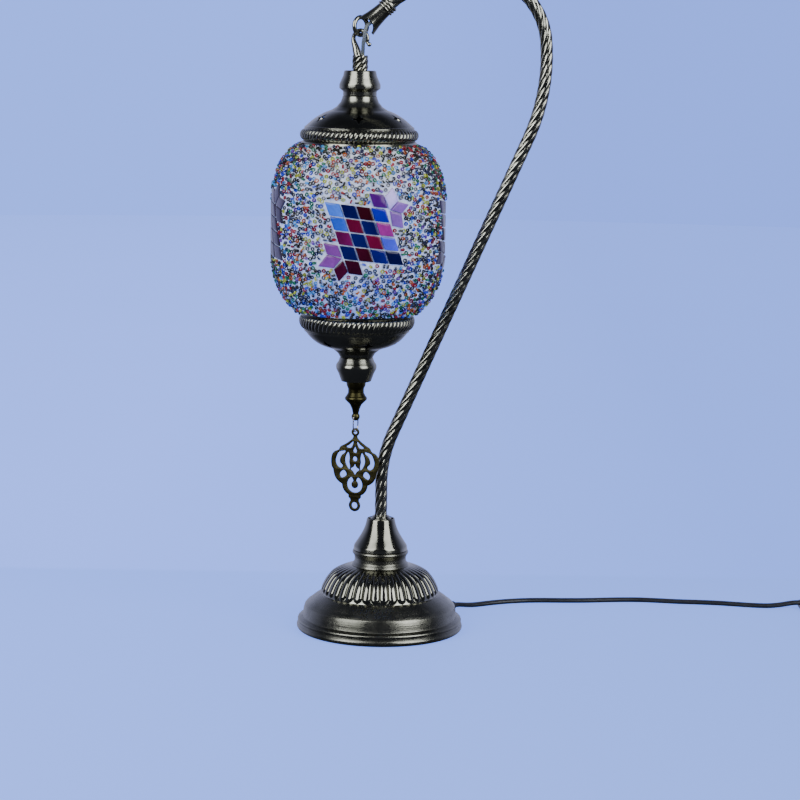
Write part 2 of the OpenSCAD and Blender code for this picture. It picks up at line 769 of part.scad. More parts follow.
module charm_plate() {
    color([0.28, 0.25, 0.16]) at_lantern() rotate([0, 0, charm_yaw]) rotate([90, 0, 0])
        translate([0, 0, -charm_plate_t / 2]) linear_extrude(charm_plate_t) difference() {
            charm_outline();
            charm_openings();
        }
}

// ---- Cord ----

module cord_run() { color(black) swept(run_route, cord_w, cord_t, [0, 0, 1], 10); }
module cord_link() { color(black) swept(link_route, cord_w, cord_t, [0, 0, 1], 10); }
module cord_tail() { color(black) swept(tail_route, cord_w, cord_t, [0, 0, 1], 10); }

// Outer shape of the coil: two layers of three turns, and a last half turn on top of them
module cord_coil() {
    inner = coil_r - 1.5 * cord_w - coil_clear;
    outer = coil_r + 1.5 * cord_w + coil_clear;
    color(black) translate([coil_centre[0], coil_centre[1], 0]) {
        rotate_extrude() polygon([
            [inner, 1], [inner + 1, 0], [outer - 1, 0], [outer, 1], [outer, 2 * cord_t - 1],
            [outer - 1, 2 * cord_t], [inner + 1, 2 * cord_t], [inner, 2 * cord_t - 1]
        ]);
        rotate([0, 0, -90]) rotate_extrude(angle = 180) polygon([
            [outer - cord_w, 2 * cord_t - 0.5], [outer, 2 * cord_t - 1], [outer, 3 * cord_t - 1],
            [outer - 1, 3 * cord_t], [outer - cord_w + 1, 3 * cord_t], [outer - cord_w, 3 * cord_t - 1]
        ]);
    }
}

module coil_tie() {
    inner = coil_r - 1.5 * cord_w - coil_clear - 0.2;
    outer = coil_r + 1.5 * cord_w + coil_clear + 0.2;
    color(black) translate([coil_centre[0], coil_centre[1], 0]) rotate([0, 0, 180]) difference() {
        translate([inner - 1.1, -2.5, 0]) cube([outer - inner + 2.2, 5, 2 * cord_t + 1.3]);
        translate([inner, -3, -1]) cube([outer - inner, 6, 2 * cord_t + 1.2]);
    }
}

module switch_block(z0, z1) {
    r = 6;
    hull() for (x = [r, switch_l - r], y = [r, switch_w - r])
        translate([switch_x + x, switch_y - switch_w / 2 + y, z0]) cylinder(r = r, h = z1 - z0);
}

module switch_base() {
    color(black) difference() {
        switch_block(0, switch_split_z - 0.05);
        translate([switch_x + 3, switch_y - switch_w / 2 + 3, 2]) cube([switch_l - 6, switch_w - 6, 4]);
        translate([switch_x + 3, switch_y - cord_w / 2, switch_split_z - cord_t / 2]) cube([60, cord_w, 4]);
    }
}

module switch_cover() {
    color(black) difference() {
        switch_block(switch_split_z + 0.05, switch_h);
        translate([switch_x + 3, switch_y - switch_w / 2 + 3, 4]) cube([switch_l - 6, switch_w - 6, 9.6]);
        translate([switch_x + switch_l / 2 - 11.5, switch_y - 7, 4]) cube([23, 14, 14]);
        for (side = [-1, 1]) translate([switch_x + switch_l / 2, switch_y, rocker_pivot_z]) rotate([90, 0, 0])
            translate([0, 0, side > 0 ? 6 : -9.2]) cylinder(r = 1.55, h = 3.2);
    }
}

module switch_rocker() {
    color([0.1, 0.1, 0.11]) translate([switch_x + switch_l / 2, switch_y, rocker_pivot_z]) {
        rotate([90, 0, 0]) linear_extrude(13.2, center = true)
            polygon([[-10.4, 1.5], [0, 3.2], [10.4, 4.4], [9.6, -3.2], [3, -5.4], [-3, -5.4], [-9.6, -3.2]]);
        rotate([90, 0, 0]) cylinder(r = 1.5, h = 18, center = true);
    }
}

module plug_body() {
    color(black) translate([plug_rear_x, plug_y, plug_z]) rotate([0, -90, 0]) difference() {
        union() {
            linear_extrude(12) square([10, 9], center = true);
            translate([0, 0, 10]) linear_extrude(plug_l - 10) polygon([
                [-6.6, -11], [-5, -17.6], [5, -17.6], [6.6, -11], [6.6, 11], [5, 17.6], [-5, 17.6],
                [-6.6, 11]
            ]);
        }
        for (side = [-1, 1]) translate([0, side * pin_spacing / 2, plug_l - 14]) cylinder(r = pin_r, h = 15);
    }
}

module plug_pins() {
    color(steel) for (side = [-1, 1])
        translate([plug_rear_x - plug_l + 14, plug_y + side * pin_spacing / 2, plug_z]) rotate([0, -90, 0]) {
            cylinder(r = pin_r, h = 14 + pin_l - 0.8);
            translate([0, 0, 14 + pin_l - 0.8]) cylinder(r1 = pin_r, r2 = pin_r - 0.7, h = 0.8);
        }
}

base_pad();
base_plate();
ballast_disc();
base_skirt();
fluted_dome();
neck_collar();
base_cone();
tie_tube();
tie_washer();
tie_nut();
arm_coupler();
arm_collar();
arm_tube();
arm_lead();
arm_end_socket();
arm_eye();
base_lead();
lead_clamp();
clamp_screws();
cord_bush();
lantern_hook();
twist_stem();
top_cup();
top_cap();
holder_nipple();
cap_washer();
cap_nut();
globe_glass();
bead_skin();
tiles_front();
tiles_right();
tiles_back();
tiles_left();
plaster_top();
plaster_bottom();
bottom_holder();
bottom_cup();
finial();
finial_rod();
finial_nut();
lamp_holder_cap();
lamp_holder_sleeve();
lamp_holder_core();
bulb_cap();
bulb_glass();
bulb_stem();
lantern_lead();
hanging_lead();
charm_link();
charm_plate();
cord_run();
cord_link();
cord_tail();
cord_coil();
coil_tie();
switch_base();
switch_cover();
switch_rocker();
plug_body();
plug_pins();
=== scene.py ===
import math
import random

import bmesh
import bpy
import numpy as np
from mathutils import Matrix, Quaternion, Vector


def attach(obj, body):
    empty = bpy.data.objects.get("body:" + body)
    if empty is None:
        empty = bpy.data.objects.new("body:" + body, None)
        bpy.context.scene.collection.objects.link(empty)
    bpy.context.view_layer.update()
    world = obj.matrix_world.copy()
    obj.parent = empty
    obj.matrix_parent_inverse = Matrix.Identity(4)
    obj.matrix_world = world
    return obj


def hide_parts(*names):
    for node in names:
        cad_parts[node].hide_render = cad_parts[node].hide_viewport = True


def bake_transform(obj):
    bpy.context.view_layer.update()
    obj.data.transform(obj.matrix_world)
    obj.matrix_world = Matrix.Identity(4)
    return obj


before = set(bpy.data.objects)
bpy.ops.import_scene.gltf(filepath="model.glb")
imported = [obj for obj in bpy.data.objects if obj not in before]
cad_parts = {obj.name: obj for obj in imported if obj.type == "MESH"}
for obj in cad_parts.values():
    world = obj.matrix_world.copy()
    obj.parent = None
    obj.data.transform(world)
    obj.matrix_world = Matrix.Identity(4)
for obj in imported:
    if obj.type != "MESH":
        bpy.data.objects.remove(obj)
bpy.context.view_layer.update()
mm = 0.001
lanternX = -20.2  # the lantern's axis


# Camera

camera = {"place": (0, -1.8, 0.45), "down": 8.62, "right": 0.42, "roll": 0.90, "lens": 108.2}


def addCamera():
    data = bpy.data.cameras.new("camera")
    data.lens = camera["lens"]
    data.sensor_width = 36
    eye = bpy.data.objects.new("camera", data)
    down, right = math.radians(camera["down"]), math.radians(camera["right"])
    ahead = Vector((math.sin(right) * math.cos(down), math.cos(right) * math.cos(down), -math.sin(down)))
    eye.location = camera["place"]
    eye.rotation_mode = "QUATERNION"
    roll = Quaternion((0, 0, 1), math.radians(camera["roll"]))
    eye.rotation_quaternion = ahead.to_track_quat("-Z", "Y") @ roll
    bpy.context.scene.collection.objects.link(eye)
    bpy.context.scene.camera = eye


addCamera()


# Shader maths

class Signal:  # a shader socket that takes part in sums
    def __init__(self, paint, socket):
        self.paint = paint
        self.socket = socket

    def maths(self, operation, first, second):
        return self.paint.node("ShaderNodeMath", {"operation": operation}, {0: first, 1: second})

    def __add__(self, other):
        return self.maths("ADD", self, other)

    __radd__ = __add__

    def __sub__(self, other):
        return self.maths("SUBTRACT", self, other)

    def __rsub__(self, other):
        return self.maths("SUBTRACT", other, self)

    def __mul__(self, other):
        return self.maths("MULTIPLY", self, other)

    __rmul__ = __mul__

    def clamped(self):
        return self.maths("MINIMUM", self.maths("MAXIMUM", self, 0.0), 1.0)


class Paint:  # one material, or the world, and its nodes
    def __init__(self, name, world=None):
        self.material = world or bpy.data.materials.new(name)
        self.material.use_nodes = True
        self.tree = self.material.node_tree
        self.tree.nodes.clear()

    def node(self, kind, settings=None, inputs=None, output=0):
        made = self.tree.nodes.new(kind)
        for key, value in (settings or {}).items():
            setattr(made, key, value)
        for key, value in (inputs or {}).items():
            if isinstance(value, Signal):
                self.tree.links.new(value.socket, made.inputs[key])
            else:
                made.inputs[key].default_value = value
        return Signal(self, made.outputs[output]) if made.outputs else None

    def noise(self, scale, detail=2.0, stretch=(1, 1, 1), move=(0, 0, 0)):
        place = self.node("ShaderNodeTexCoord", output="Object")
        moved = self.node("ShaderNodeMapping", None, {"Vector": place, "Scale": stretch, "Location": move})
        return self.node("ShaderNodeTexNoise", None, {"Vector": moved, "Scale": scale, "Detail": detail})

    def spread(self, value, low, high):  # stretches low..high to 0..1
        return ((value - low) * (1 / (high - low))).clamped()

    def mix(self, share, first, second):
        return self.node("ShaderNodeMix", {"data_type": "RGBA"}, {0: share, 6: first, 7: second}, output=2)

    def bump(self, height, strength, distance):
        inputs = {"Height": height, "Strength": strength, "Distance": distance}
        return self.node("ShaderNodeBump", None, inputs)

    def finish(self, sockets):
        shader = self.node("ShaderNodeBsdfPrincipled", None, sockets)
        self.node("ShaderNodeOutputMaterial", None, {"Surface": shader})
        return self.material


def rgb(red, green, blue):
    return (red, green, blue, 1)


def scaled(colour, by, plus=0.0):
    return rgb(*[min(1, by * c + plus) for c in colour[:3]])


# Finishes

def agedMetal(name, deep, bright, rough, rings=0.0, grain=0.15, wear=0.35):
    paint = Paint(name)
    cloud = paint.spread(paint.noise(38, 4), 0.35, 0.65)
    colour = paint.mix(cloud, deep, bright)
    edge = paint.node("ShaderNodeNewGeometry", output="Pointiness")
    worn = paint.spread(edge, 0.505, 0.56) * wear
    colour = paint.mix(worn, colour, scaled(bright, 2.2))
    # painted shade, partly patina: the colour darkens in hollows and grooves, where old patina gathers and
    # where shade falls
    hollow = paint.spread(0.5 - edge, 0.005, 0.06) * 0.7
    colour = paint.mix(hollow, colour, scaled(deep, 0.3))
    smear = paint.noise(140, 3, move=(0.3, 0.1, 0.2))
    height = paint.noise(900, 2) * grain
    if rings:
        height = height + paint.noise(1, 3, stretch=(6, 6, 2600)) * rings
    return paint.finish({
        "Base Color": colour, "Metallic": 1.0, "Roughness": rough + (smear - 0.5) * 0.22 + hollow * 0.2,
        "Normal": paint.bump(height, 0.35, 0.0003),
    })


def plastic(name, colour, rough, grain=2200, depth=0.00004):
    paint = Paint(name)
    speck = paint.noise(grain, 2)
    wide = paint.spread(paint.noise(60, 3), 0.3, 0.7)
    return paint.finish({
        "Base Color": paint.mix(wide, colour, scaled(colour, 1.35, 0.004)),
        "Roughness": rough + (speck - 0.5) * 0.2,
        "Normal": paint.bump(speck, 0.3, depth),
    })


def stone(name, deep, bright, rough, scale, depth):
    paint = Paint(name)
    coarse = paint.noise(scale, 5)
    fine = paint.noise(scale * 6, 3)
    return paint.finish({
        "Base Color": paint.mix(paint.spread(coarse, 0.3, 0.7), deep, bright), "Roughness": rough,
        "Normal": paint.bump(coarse * 0.6 + fine * 0.4, 0.5, depth),
    })


def tileGlass(name, deep, bright):
    paint = Paint(name)
    streak = paint.noise(46, 3, stretch=(1, 1, 0.45))
    dots = paint.noise(520, 2, move=(0.2, 0.4, 0.1))
    shade = paint.spread(streak + (dots - 0.5) * 0.22, 0.36, 0.66)
    return paint.finish({
        "Base Color": paint.mix(shade, deep, bright), "Roughness": 0.12 + (dots - 0.5) * 0.1,
        "IOR": 1.5, "Specular IOR Level": 0.3,
        "Normal": paint.bump(streak, 0.25, 0.0004),
    })


def beadGlass(name, deep, bright):
    paint = Paint(name)
    shade = paint.spread(paint.noise(260, 1), 0.35, 0.65)
    return paint.finish({
        "Base Color": paint.mix(shade, deep, bright), "Roughness": 0.1 + shade * 0.08, "IOR": 1.55,
        "Coat Weight": 0.25, "Coat Roughness": 0.04,
        "Normal": paint.bump(paint.noise(700, 1), 0.12, 0.0001),
    })


def clearGlass(name, tint):
    paint = Paint(name)
    wave = paint.noise(30, 2)
    return paint.finish({
        "Base Color": paint.mix(paint.spread(wave, 0.3, 0.7), tint, rgb(0.95, 0.96, 0.97)),
        "Roughness": 0.04 + wave * 0.03, "IOR": 1.5, "Transmission Weight": 0.9,
        "Normal": paint.bump(wave, 0.1, 0.0003),
    })


darkBrass = rgb(0.145, 0.144, 0.118)
finishes = {
    "brushed": agedMetal("brushedBrass", darkBrass, rgb(0.25, 0.247, 0.205), 0.26, rings=0.9, wear=0.25),
    "rope": agedMetal(
        "ropeBrass", rgb(0.15, 0.149, 0.122), rgb(0.36, 0.357, 0.30), 0.17, grain=0.3, wear=0.9),
    "spun": agedMetal("spunBrass", darkBrass, rgb(0.27, 0.267, 0.222), 0.18, rings=0.5),
    "polished": agedMetal(
        "polishedBrass", rgb(0.15, 0.149, 0.122), rgb(0.27, 0.267, 0.222), 0.13, rings=0.12),
    "cast": agedMetal(
        "castBrass", rgb(0.13, 0.129, 0.105), rgb(0.33, 0.327, 0.272), 0.19, grain=0.3, wear=0.6),
    "olive": agedMetal(
        "oliveBrass", rgb(0.03, 0.027, 0.011), rgb(0.085, 0.076, 0.032), 0.36, grain=0.5, wear=0.5),
    "wire": agedMetal("linkWire", rgb(0.42, 0.38, 0.34), rgb(0.62, 0.56, 0.5), 0.3, grain=0.3, wear=0.2),
    "zinc": agedMetal("zincSteel", rgb(0.42, 0.43, 0.44), rgb(0.6, 0.61, 0.62), 0.35, grain=0.3, wear=0.2),
    "nickel": agedMetal("nickel", rgb(0.55, 0.53, 0.48), rgb(0.7, 0.68, 0.63), 0.2, grain=0.1, wear=0.2),
    "iron": stone("castIron", rgb(0.03, 0.03, 0.032), rgb(0.07, 0.068, 0.066), 0.75, 160, 0.0005),
    "felt": stone("feltPad", rgb(0.02, 0.02, 0.021), rgb(0.05, 0.05, 0.052), 0.95, 900, 0.0006),
    "flex": plastic("blackFlex", rgb(0.012, 0.012, 0.014), 0.38),
    "rubber": plastic("blackRubber", rgb(0.014, 0.014, 0.015), 0.55),
    "lead": plastic("greyLead", rgb(0.10, 0.105, 0.085), 0.32),
    "plastic": plastic("blackPlastic", rgb(0.015, 0.015, 0.017), 0.32, grain=1500, depth=0.00006),
    "tie": plastic("nylonTie", rgb(0.02, 0.02, 0.022), 0.5),
    "porcelain": stone("porcelain", rgb(0.78, 0.77, 0.74), rgb(0.86, 0.85, 0.83), 0.18, 90, 0.00008),
    "plaster": stone("plaster", rgb(0.78, 0.78, 0.76), rgb(0.88, 0.88, 0.86), 0.85, 300, 0.0003),
    "grout": stone("beadGrout", rgb(0.66, 0.69, 0.72), rgb(0.84, 0.87, 0.90), 0.6, 420, 0.0003),
    "globe": clearGlass("globeGlass", rgb(0.9, 0.92, 0.93)),
    "bulb": clearGlass("bulbGlass", rgb(0.93, 0.91, 0.86)),
    "filament": stone("filament", rgb(0.75, 0.55, 0.2), rgb(0.85, 0.68, 0.32), 0.45, 500, 0.0001),
}
print("finishes made")


# Shapes: each is a list of points in millimetres and a list of faces

def bez(a, b, c, d, steps=12):
    a, b, c, d = (np.array(p, float) for p in (a, b, c, d))
    return [
        (1 - t) ** 3 * a + 3 * (1 - t) ** 2 * t * b + 3 * (1 - t) * t * t * c + t ** 3 * d
        for t in np.linspace(0, 1, steps + 1)
    ]


def arc(x, z, r, start, end, steps=10):
    angles = np.radians(np.linspace(start, end, steps + 1))
    return [np.array([x + r * math.cos(a), z + r * math.sin(a)]) for a in angles]


def eased(points, size=0.35, closed=True):  # an outline with its corners rounded
    out, n = [], len(points)
    for i in range(n):
        p = np.array(points[i], float)
        if not closed and i in (0, n - 1):
            out.append(p)
            continue
        a, b = np.array(points[i - 1], float) - p, np.array(points[(i + 1) % n], float) - p
        la, lb = np.linalg.norm(a), np.linalg.norm(b)
        if la < 1e-6 or lb < 1e-6 or a @ b / (la * lb) < -0.95:
            out.append(p)
            continue
        near = min(size, 0.4 * la, 0.4 * lb)
        first, last = p + a / la * near, p + b / lb * near
        out += [(1 - t) ** 2 * first + 2 * t * (1 - t) * p + t * t * last for t in (0, 0.33, 0.67, 1)]
    return out


def ringFaces(rows, columns, open=False):  # rows close on themselves, and columns too unless open
    n = columns
    return [
        (j * n + i, (j + 1) % rows * n + i, (j + 1) % rows * n + (i + 1) % n, j * n + (i + 1) % n)
        for j in range(rows) for i in range(n - 1 if open else n)
    ]


def tubeFaces(rows, columns, ring=False):  # a tube of closed sections, capped unless it is a ring
    m = columns
    faces = [
        (i * m + k, i * m + (k + 1) % m, (i + 1) % rows * m + (k + 1) % m, (i + 1) % rows * m + k)
        for i in range(rows if ring else rows - 1) for k in range(m)
    ]
    if not ring:
        faces += [tuple(range(m - 1, -1, -1)), tuple((rows - 1) * m + k for k in range(m))]
    return faces


def spun(outline, around=128, detail=None, place=None, open=False):
    ring = np.array(outline, float)
    angle = np.linspace(0, 2 * math.pi, around, endpoint=False)[:, None] + 0 * ring[None, :, 0]
    radius = np.repeat(ring[None, :, 0], around, 0)
    height = np.repeat(ring[None, :, 1], around, 0)
    if detail:
        angle, radius, height = detail(angle, radius, height)
    points = np.stack([radius * np.cos(angle), radius * np.sin(angle), height], -1).reshape(-1, 3)
    return moved(points, place), ringFaces(around, len(ring), open)


def moved(points, place):
    if place is None:
        return points
    turn = np.array(place, float)
    return points @ turn[:3, :3].T + turn[:3, 3]


def swept(path, section, up, ring=False, place=None):
    # section is (points, 2), or (places, points, 2) where it changes along the path
    path = np.array(path, float)
    n = len(path)
    if ring:
        ahead = np.roll(path, -1, 0) - np.roll(path, 1, 0)
    else:
        ahead = np.gradient(path, axis=0)
    ahead /= np.linalg.norm(ahead, axis=1)[:, None]
    side = np.cross(np.array(up, float), ahead)
    side /= np.linalg.norm(side, axis=1)[:, None]
    lift = np.cross(ahead, side)
    section = np.array(section, float)
    if section.ndim == 2:
        section = np.repeat(section[None], n, 0)
    points = path[:, None] + side[:, None] * section[..., :1] + lift[:, None] * section[..., 1:]
    return moved(points.reshape(-1, 3), place), tubeFaces(n, section.shape[1], ring)


def circle(r, sides):
    a = np.linspace(0, 2 * math.pi, sides, endpoint=False)
    return np.stack([r * np.cos(a), r * np.sin(a)], -1)


def strands(length, r, depth, starts, lead, around):  # a rope's sections, one for each place in length
    a = np.linspace(0, 2 * math.pi, around, endpoint=False)[None]
    turn = np.array(length)[:, None] / lead * 2 * math.pi
    share = ((a - turn) * starts / (2 * math.pi)) % 1 * 2 - 1
    radius = r - depth * (1 - np.sqrt(1 - 0.97 * share ** 2))
    return np.stack([radius * np.cos(a), radius * np.sin(a)], -1)


def ball(centre, r, around):
    angles = np.linspace(-math.pi / 2, math.pi / 2, 12)
    outline = [(max(r * math.cos(a), 0.0), r * math.sin(a)) for a in angles]
    points, faces = spun(outline, around, open=True)
    return points + np.array(centre, float), faces


def slab(middle, size, corner, z0, z1, bevel=0.8, steps=6):  # a block with rounded corners and edges
    def outline(inset):
        w, l, r = size[0] / 2 - inset, size[1] / 2 - inset, max(corner - inset, 0.1)
        return [
            (middle[0] + sx * (w - r) + r * math.cos(a), middle[1] + sy * (l - r) + r * math.sin(a))
            for sx, sy, start in ((1, 1, 0), (-1, 1, 90), (-1, -1, 180), (1, -1, 270))
            for a in np.radians(np.linspace(start, start + 90, steps + 1))
        ]
    levels = [(bevel, z0), (bevel * 0.3, z0 + bevel * 0.3), (0, z0 + bevel)]
    levels += [(0, z1 - bevel), (bevel * 0.3, z1 - bevel * 0.3), (bevel, z1)]
    rings = [[(x, y, z) for x, y in outline(inset)] for inset, z in levels]
    return lofted(rings)


def lofted(rings):
    return np.array(rings, float).reshape(-1, 3), tubeFaces(len(rings), len(rings[0]))


def welded(mesh, distance):
    work = bmesh.new()
    work.from_mesh(mesh)
    bmesh.ops.remove_doubles(work, verts=work.verts, dist=distance)
    bmesh.ops.recalc_face_normals(work, faces=work.faces)
    work.to_mesh(mesh)
    work.free()


def smoothed(mesh, sharp):  # smooth shading with edges over the sharp angle left crisp
    mesh.polygons.foreach_set("use_smooth", [True] * len(mesh.polygons))
    mesh.set_sharp_from_angle(angle=math.radians(sharp))


def linked(name, data):
    made = bpy.data.objects.new(name, data)
    bpy.context.scene.collection.objects.link(made)
    return made


def makePiece(name, shapes, sharp=38, weld=True, kinds=None):
    points, faces, count = [], [], 0
    for shapePoints, shapeFaces in shapes:
        points.append(np.array(shapePoints, float) * mm)
        faces += [tuple(v + count for v in face) for face in shapeFaces]
        count += len(shapePoints)
    mesh = bpy.data.meshes.new(name)
    mesh.from_pydata(np.concatenate(points).tolist(), [], faces)
    if weld:
        welded(mesh, 2e-6)
    if kinds is not None:
        mesh.polygons.foreach_set("material_index", kinds)
    smoothed(mesh, sharp)
    return linked(name, mesh)


def settled(piece, sharp):  # applies the piece's modifiers
    graph = bpy.context.evaluated_depsgraph_get()
    mesh = bpy.data.meshes.new_from_object(piece.evaluated_get(graph))
    piece.modifiers.clear()
    piece.data = mesh
    smoothed(mesh, sharp)


def cutAway(piece, shapes, sharp=38, operation="DIFFERENCE"):
    tool = makePiece("tool", shapes)
    cut = piece.modifiers.new("cut", "BOOLEAN")
    cut.object, cut.operation, cut.solver = tool, operation, "EXACT"
    settled(piece, sharp)
    bpy.data.objects.remove(tool)


def addBall(piece, centre, r, place, around=20):
    points, faces = ball(centre, r, around)
    cutAway(piece, [(moved(points, place), faces)], operation="UNION")


def give(piece, body, finish, slot, *replaced):
    piece.data.materials.clear()
    piece.data.materials.append(finishes[finish] if isinstance(finish, str) else finish)
    if body:
        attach(piece, body)
    if replaced:
        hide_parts(*replaced)
    return piece


def atLantern(z=0.0, yaw=0.0):
    return Matrix.Translation((lanternX, 0, z)) @ Matrix.Rotation(math.radians(yaw), 4, "Z")


def wobble(seed, rows, columns, passes):  # smooth random heights that close on themselves along rows
    field = np.random.RandomState(seed).normal(size=(rows, columns))
    for _ in range(passes):
        field = (np.roll(field, 1, 0) + field * 2 + np.roll(field, -1, 0)) / 4
        field[:, 1:-1] = (field[:, :-2] + field[:, 1:-1] * 2 + field[:, 2:]) / 4
    return field / field.std()


# Mains cord: one flat twin flex from the base's bush through the switch into the coil and on to the plug

flex = {
    "width": 5.8, "thick": 3.4, "coilRadius": 32.4, "coilCentre": (432, 40), "shift": 70,
    "run": [
        (58.7, 58.7, 4.6), (62, 62, 4.3), (66, 65.4, 3.4), (71, 69.2, 2.4), (77, 73.2, 1.8),
        (85, 78, 1.7), (94, 82.6, 1.7), (104, 86.6, 1.7), (117, 90, 1.7), (131, 91.6, 1.7),
        (147, 92, 1.7), (165, 93.2, 1.7), (180, 95.4, 1.7), (195, 97.4, 1.7), (210, 98, 1.7),
        (225, 96.2, 1.7), (240, 93.8, 1.7), (257, 92.4, 1.7), (273, 90.4, 1.7), (288, 87, 1.7),
        (301, 84.2, 1.7), (312, 82.8, 1.9), (321, 82.2, 2.9), (329, 82, 4.3), (337, 82, 5),
    ],
    "link": [(368, 82, 5), (399, 82, 5), (405, 81.7, 4.3), (414, 80.5, 2.5), (424, 78.8, 1.72)],
    "tail": [(424, 1.8, 8.56), (415, 1.8, 8.5), (404, 1.8, 7.6), (393, 1.8, 7)],
}


def coilRoute():
    across, turns = flex["width"] + 0.02, []
    for layer in range(2):  # outside to inside on the table, then back out on top
        radii = [flex["coilRadius"] + across * (1 - k) for k in range(3)]
        turns += [(r, flex["thick"] * (0.5 + layer)) for r in (radii if layer == 0 else radii[::-1])]
    turns.append((turns[-1][0], flex["thick"] * 2.5 + 0.06))
    points, last = [], len(turns) - 1
    middleX, middleY = flex["coilCentre"]
    for i, (r, z) in enumerate(turns):
        for d in range(0, 181 if i == last else 360, 6):
            share = 0.0 if i == last else max(0.0, (d - 360 + flex["shift"]) / flex["shift"])
            share = share * share * (3 - 2 * share)
            nextR, nextZ = turns[min(i + 1, last)]
            a = math.radians(90 - d)
            here, up = r + (nextR - r) * share, z + (nextZ - z) * share
            points.append((middleX + here * math.cos(a), middleY + here * math.sin(a), up))
    return points


def catmull(four, t):  # a place on the smooth curve between the middle two of four points
    a, b, c, d = four
    square, cube = (2 * a - 5 * b + 4 * c - d) * t * t, (3 * b - a - 3 * c + d) * t ** 3
    return 0.5 * (2 * b + (c - a) * t + square + cube)


def smoothRoute(points, step):  # a Catmull-Rom line through the points, with places an even step apart
    p = np.array(points, float)
    p = np.concatenate([[2 * p[0] - p[1]], p, [2 * p[-1] - p[-2]]])
    fine = []
    for i in range(1, len(p) - 2):
        for t in np.linspace(0, 1, 12, endpoint=False):
            fine.append(catmull(p[i - 1:i + 3], t))
    fine = np.array(fine + [p[-2]])
    gone = np.concatenate([[0], np.cumsum(np.linalg.norm(np.diff(fine, axis=0), axis=1))])
    places = np.linspace(0, gone[-1], int(gone[-1] / step) + 1)
    return np.stack([np.interp(places, gone, fine[:, k]) for k in range(3)], -1)


def twinSection(sides=20):  # two round cores side by side, with a waist between them
    core = flex["thick"] / 2
    apart = flex["width"] / 2 - core
    out = []
    for a in np.linspace(0, 2 * math.pi, sides, endpoint=False):
        x = (apart + core) * math.cos(a)
        inside = max(0.0, abs(x) - apart)
        high = math.sqrt(max(core * core - inside * inside, 0))
        high *= 1 - 0.28 * max(0.0, 1 - abs(x) / apart) ** 2
        out.append((x, math.copysign(high, math.sin(a)) if abs(math.sin(a)) > 1e-6 else 0.0))
    return out


def addCord():
    route = smoothRoute(flex["run"] + flex["link"] + coilRoute() + flex["tail"], 2.6)
    cord = makePiece("mainsCord", [swept(route, twinSection(), (0, 0, 1))], sharp=60)
    give(cord, "stand", "flex", "black_pvc", "cord_run", "cord_link", "cord_tail", "cord_coil")
    return cord, (route * mm).tolist()


switch = {
    "middle": (368, 82), "size": (62, 27), "corner": 6, "boss": (29, 19.6), "window": (22.8, 14.4),
    "rocker": [(-10.4, 1.4), (-7, 1.6), (-3, 2.2), (0, 2.9), (4, 3.9), (8, 4.3), (10.4, 4.2), (9.6, -3.2),
               (3, -5.4), (-3, -5.4), (-9.6, -3.2)],
    "rockerHeight": 14,
    "rockerSlices": [(-6.6, 0.93), (-6.3, 0.98), (-5.8, 1), (5.8, 1), (6.3, 0.98), (6.6, 0.93)],
}


def addSwitch():
    middle, size, corner = switch["middle"], switch["size"], switch["corner"]
    base = makePiece("switchBase", [slab(middle, size, corner, 0.05, 4.95, 0.6)])
    give(base, "stand", "plastic", "black_plastic", "switch_base")
    cover = makePiece("switchCover", [
        slab(middle, size, corner, 5.05, 14.6, 2.2), slab(middle, switch["boss"], 3, 12, 16, 0.8)])
    cutAway(cover, [slab(middle, switch["window"], 0.8, 7, 20, 0.05)])
    give(cover, "stand", "plastic", "black_plastic", "switch_cover")
    rings = [
        [(middle[0] + x * s, middle[1] + y, switch["rockerHeight"] + z * s)
         for x, z in eased(switch["rocker"], 0.8)]
        for y, s in switch["rockerSlices"]
    ]
    rocker = makePiece("switchRocker", [lofted(rings)])
    give(rocker, "rocker", "plastic", "black_plastic", "switch_rocker")
    return [base, cover, rocker]


plug = {
    "place": (393, 1.8, 7), "pinStart": 360.4, "pinApart": 9.3,
    "stations": [  # distance from the cord's end, width and height
        (0, 8.6, 8), (0.8, 9.4, 8.8), (3, 9.6, 9), (3.6, 8.8, 8.2), (4.4, 9.6, 9), (6.4, 9.8, 9.2),
        (7, 9, 8.4), (7.8, 9.9, 9.4), (10, 10.4, 9.8), (13, 16, 11.6), (17, 26, 12.8), (22, 33, 13.1),
        (28, 34.6, 13.1), (34.6, 35.1, 13.1), (35.6, 34.6, 12.6), (36, 33.6, 11.8)],
    "pin": [(0, 0), (2, 0), (2, 8.6), (1.9, 8.7), (1.9, 9.1), (2, 9.2), (2, 21), (1.6, 22), (0.8, 22.4),
            (0, 22.4)],
}


def squarish(wide, high, sides=28):  # a section between an ellipse and a rectangle
    out = []
    for a in np.linspace(0, 2 * math.pi, sides, endpoint=False):
        c, s = math.cos(a), math.sin(a)
        out.append((
            math.copysign(abs(c) ** 0.5, c) * wide / 2, math.copysign(abs(s) ** 0.5, s) * high / 2))
    return out


def addPlug():
    endX, middleY, middleZ = plug["place"]
    rings = [
        [(endX - d, middleY + y, middleZ + z) for y, z in squarish(w, h)] for d, w, h in plug["stations"]]
    body = makePiece("plugBody", [lofted(rings)])
    give(body, "stand", "rubber", "black_rubber", "plug_body")
    toBase = Matrix.Rotation(math.radians(-90), 4, "Y")
    places = [(plug["pinStart"], middleY + side * plug["pinApart"], middleZ) for side in (-1, 1)]
    pins = makePiece("plugPins", [
        spun(plug["pin"], 24, place=Matrix.Translation(place) @ toBase, open=True) for place in places])
    give(pins, "stand", "nickel", "nickel", "plug_pins")
    return [body, pins]


tie = {"left": 390.15, "right": 409.85, "top": 7.45, "width": 5, "thick": 1}


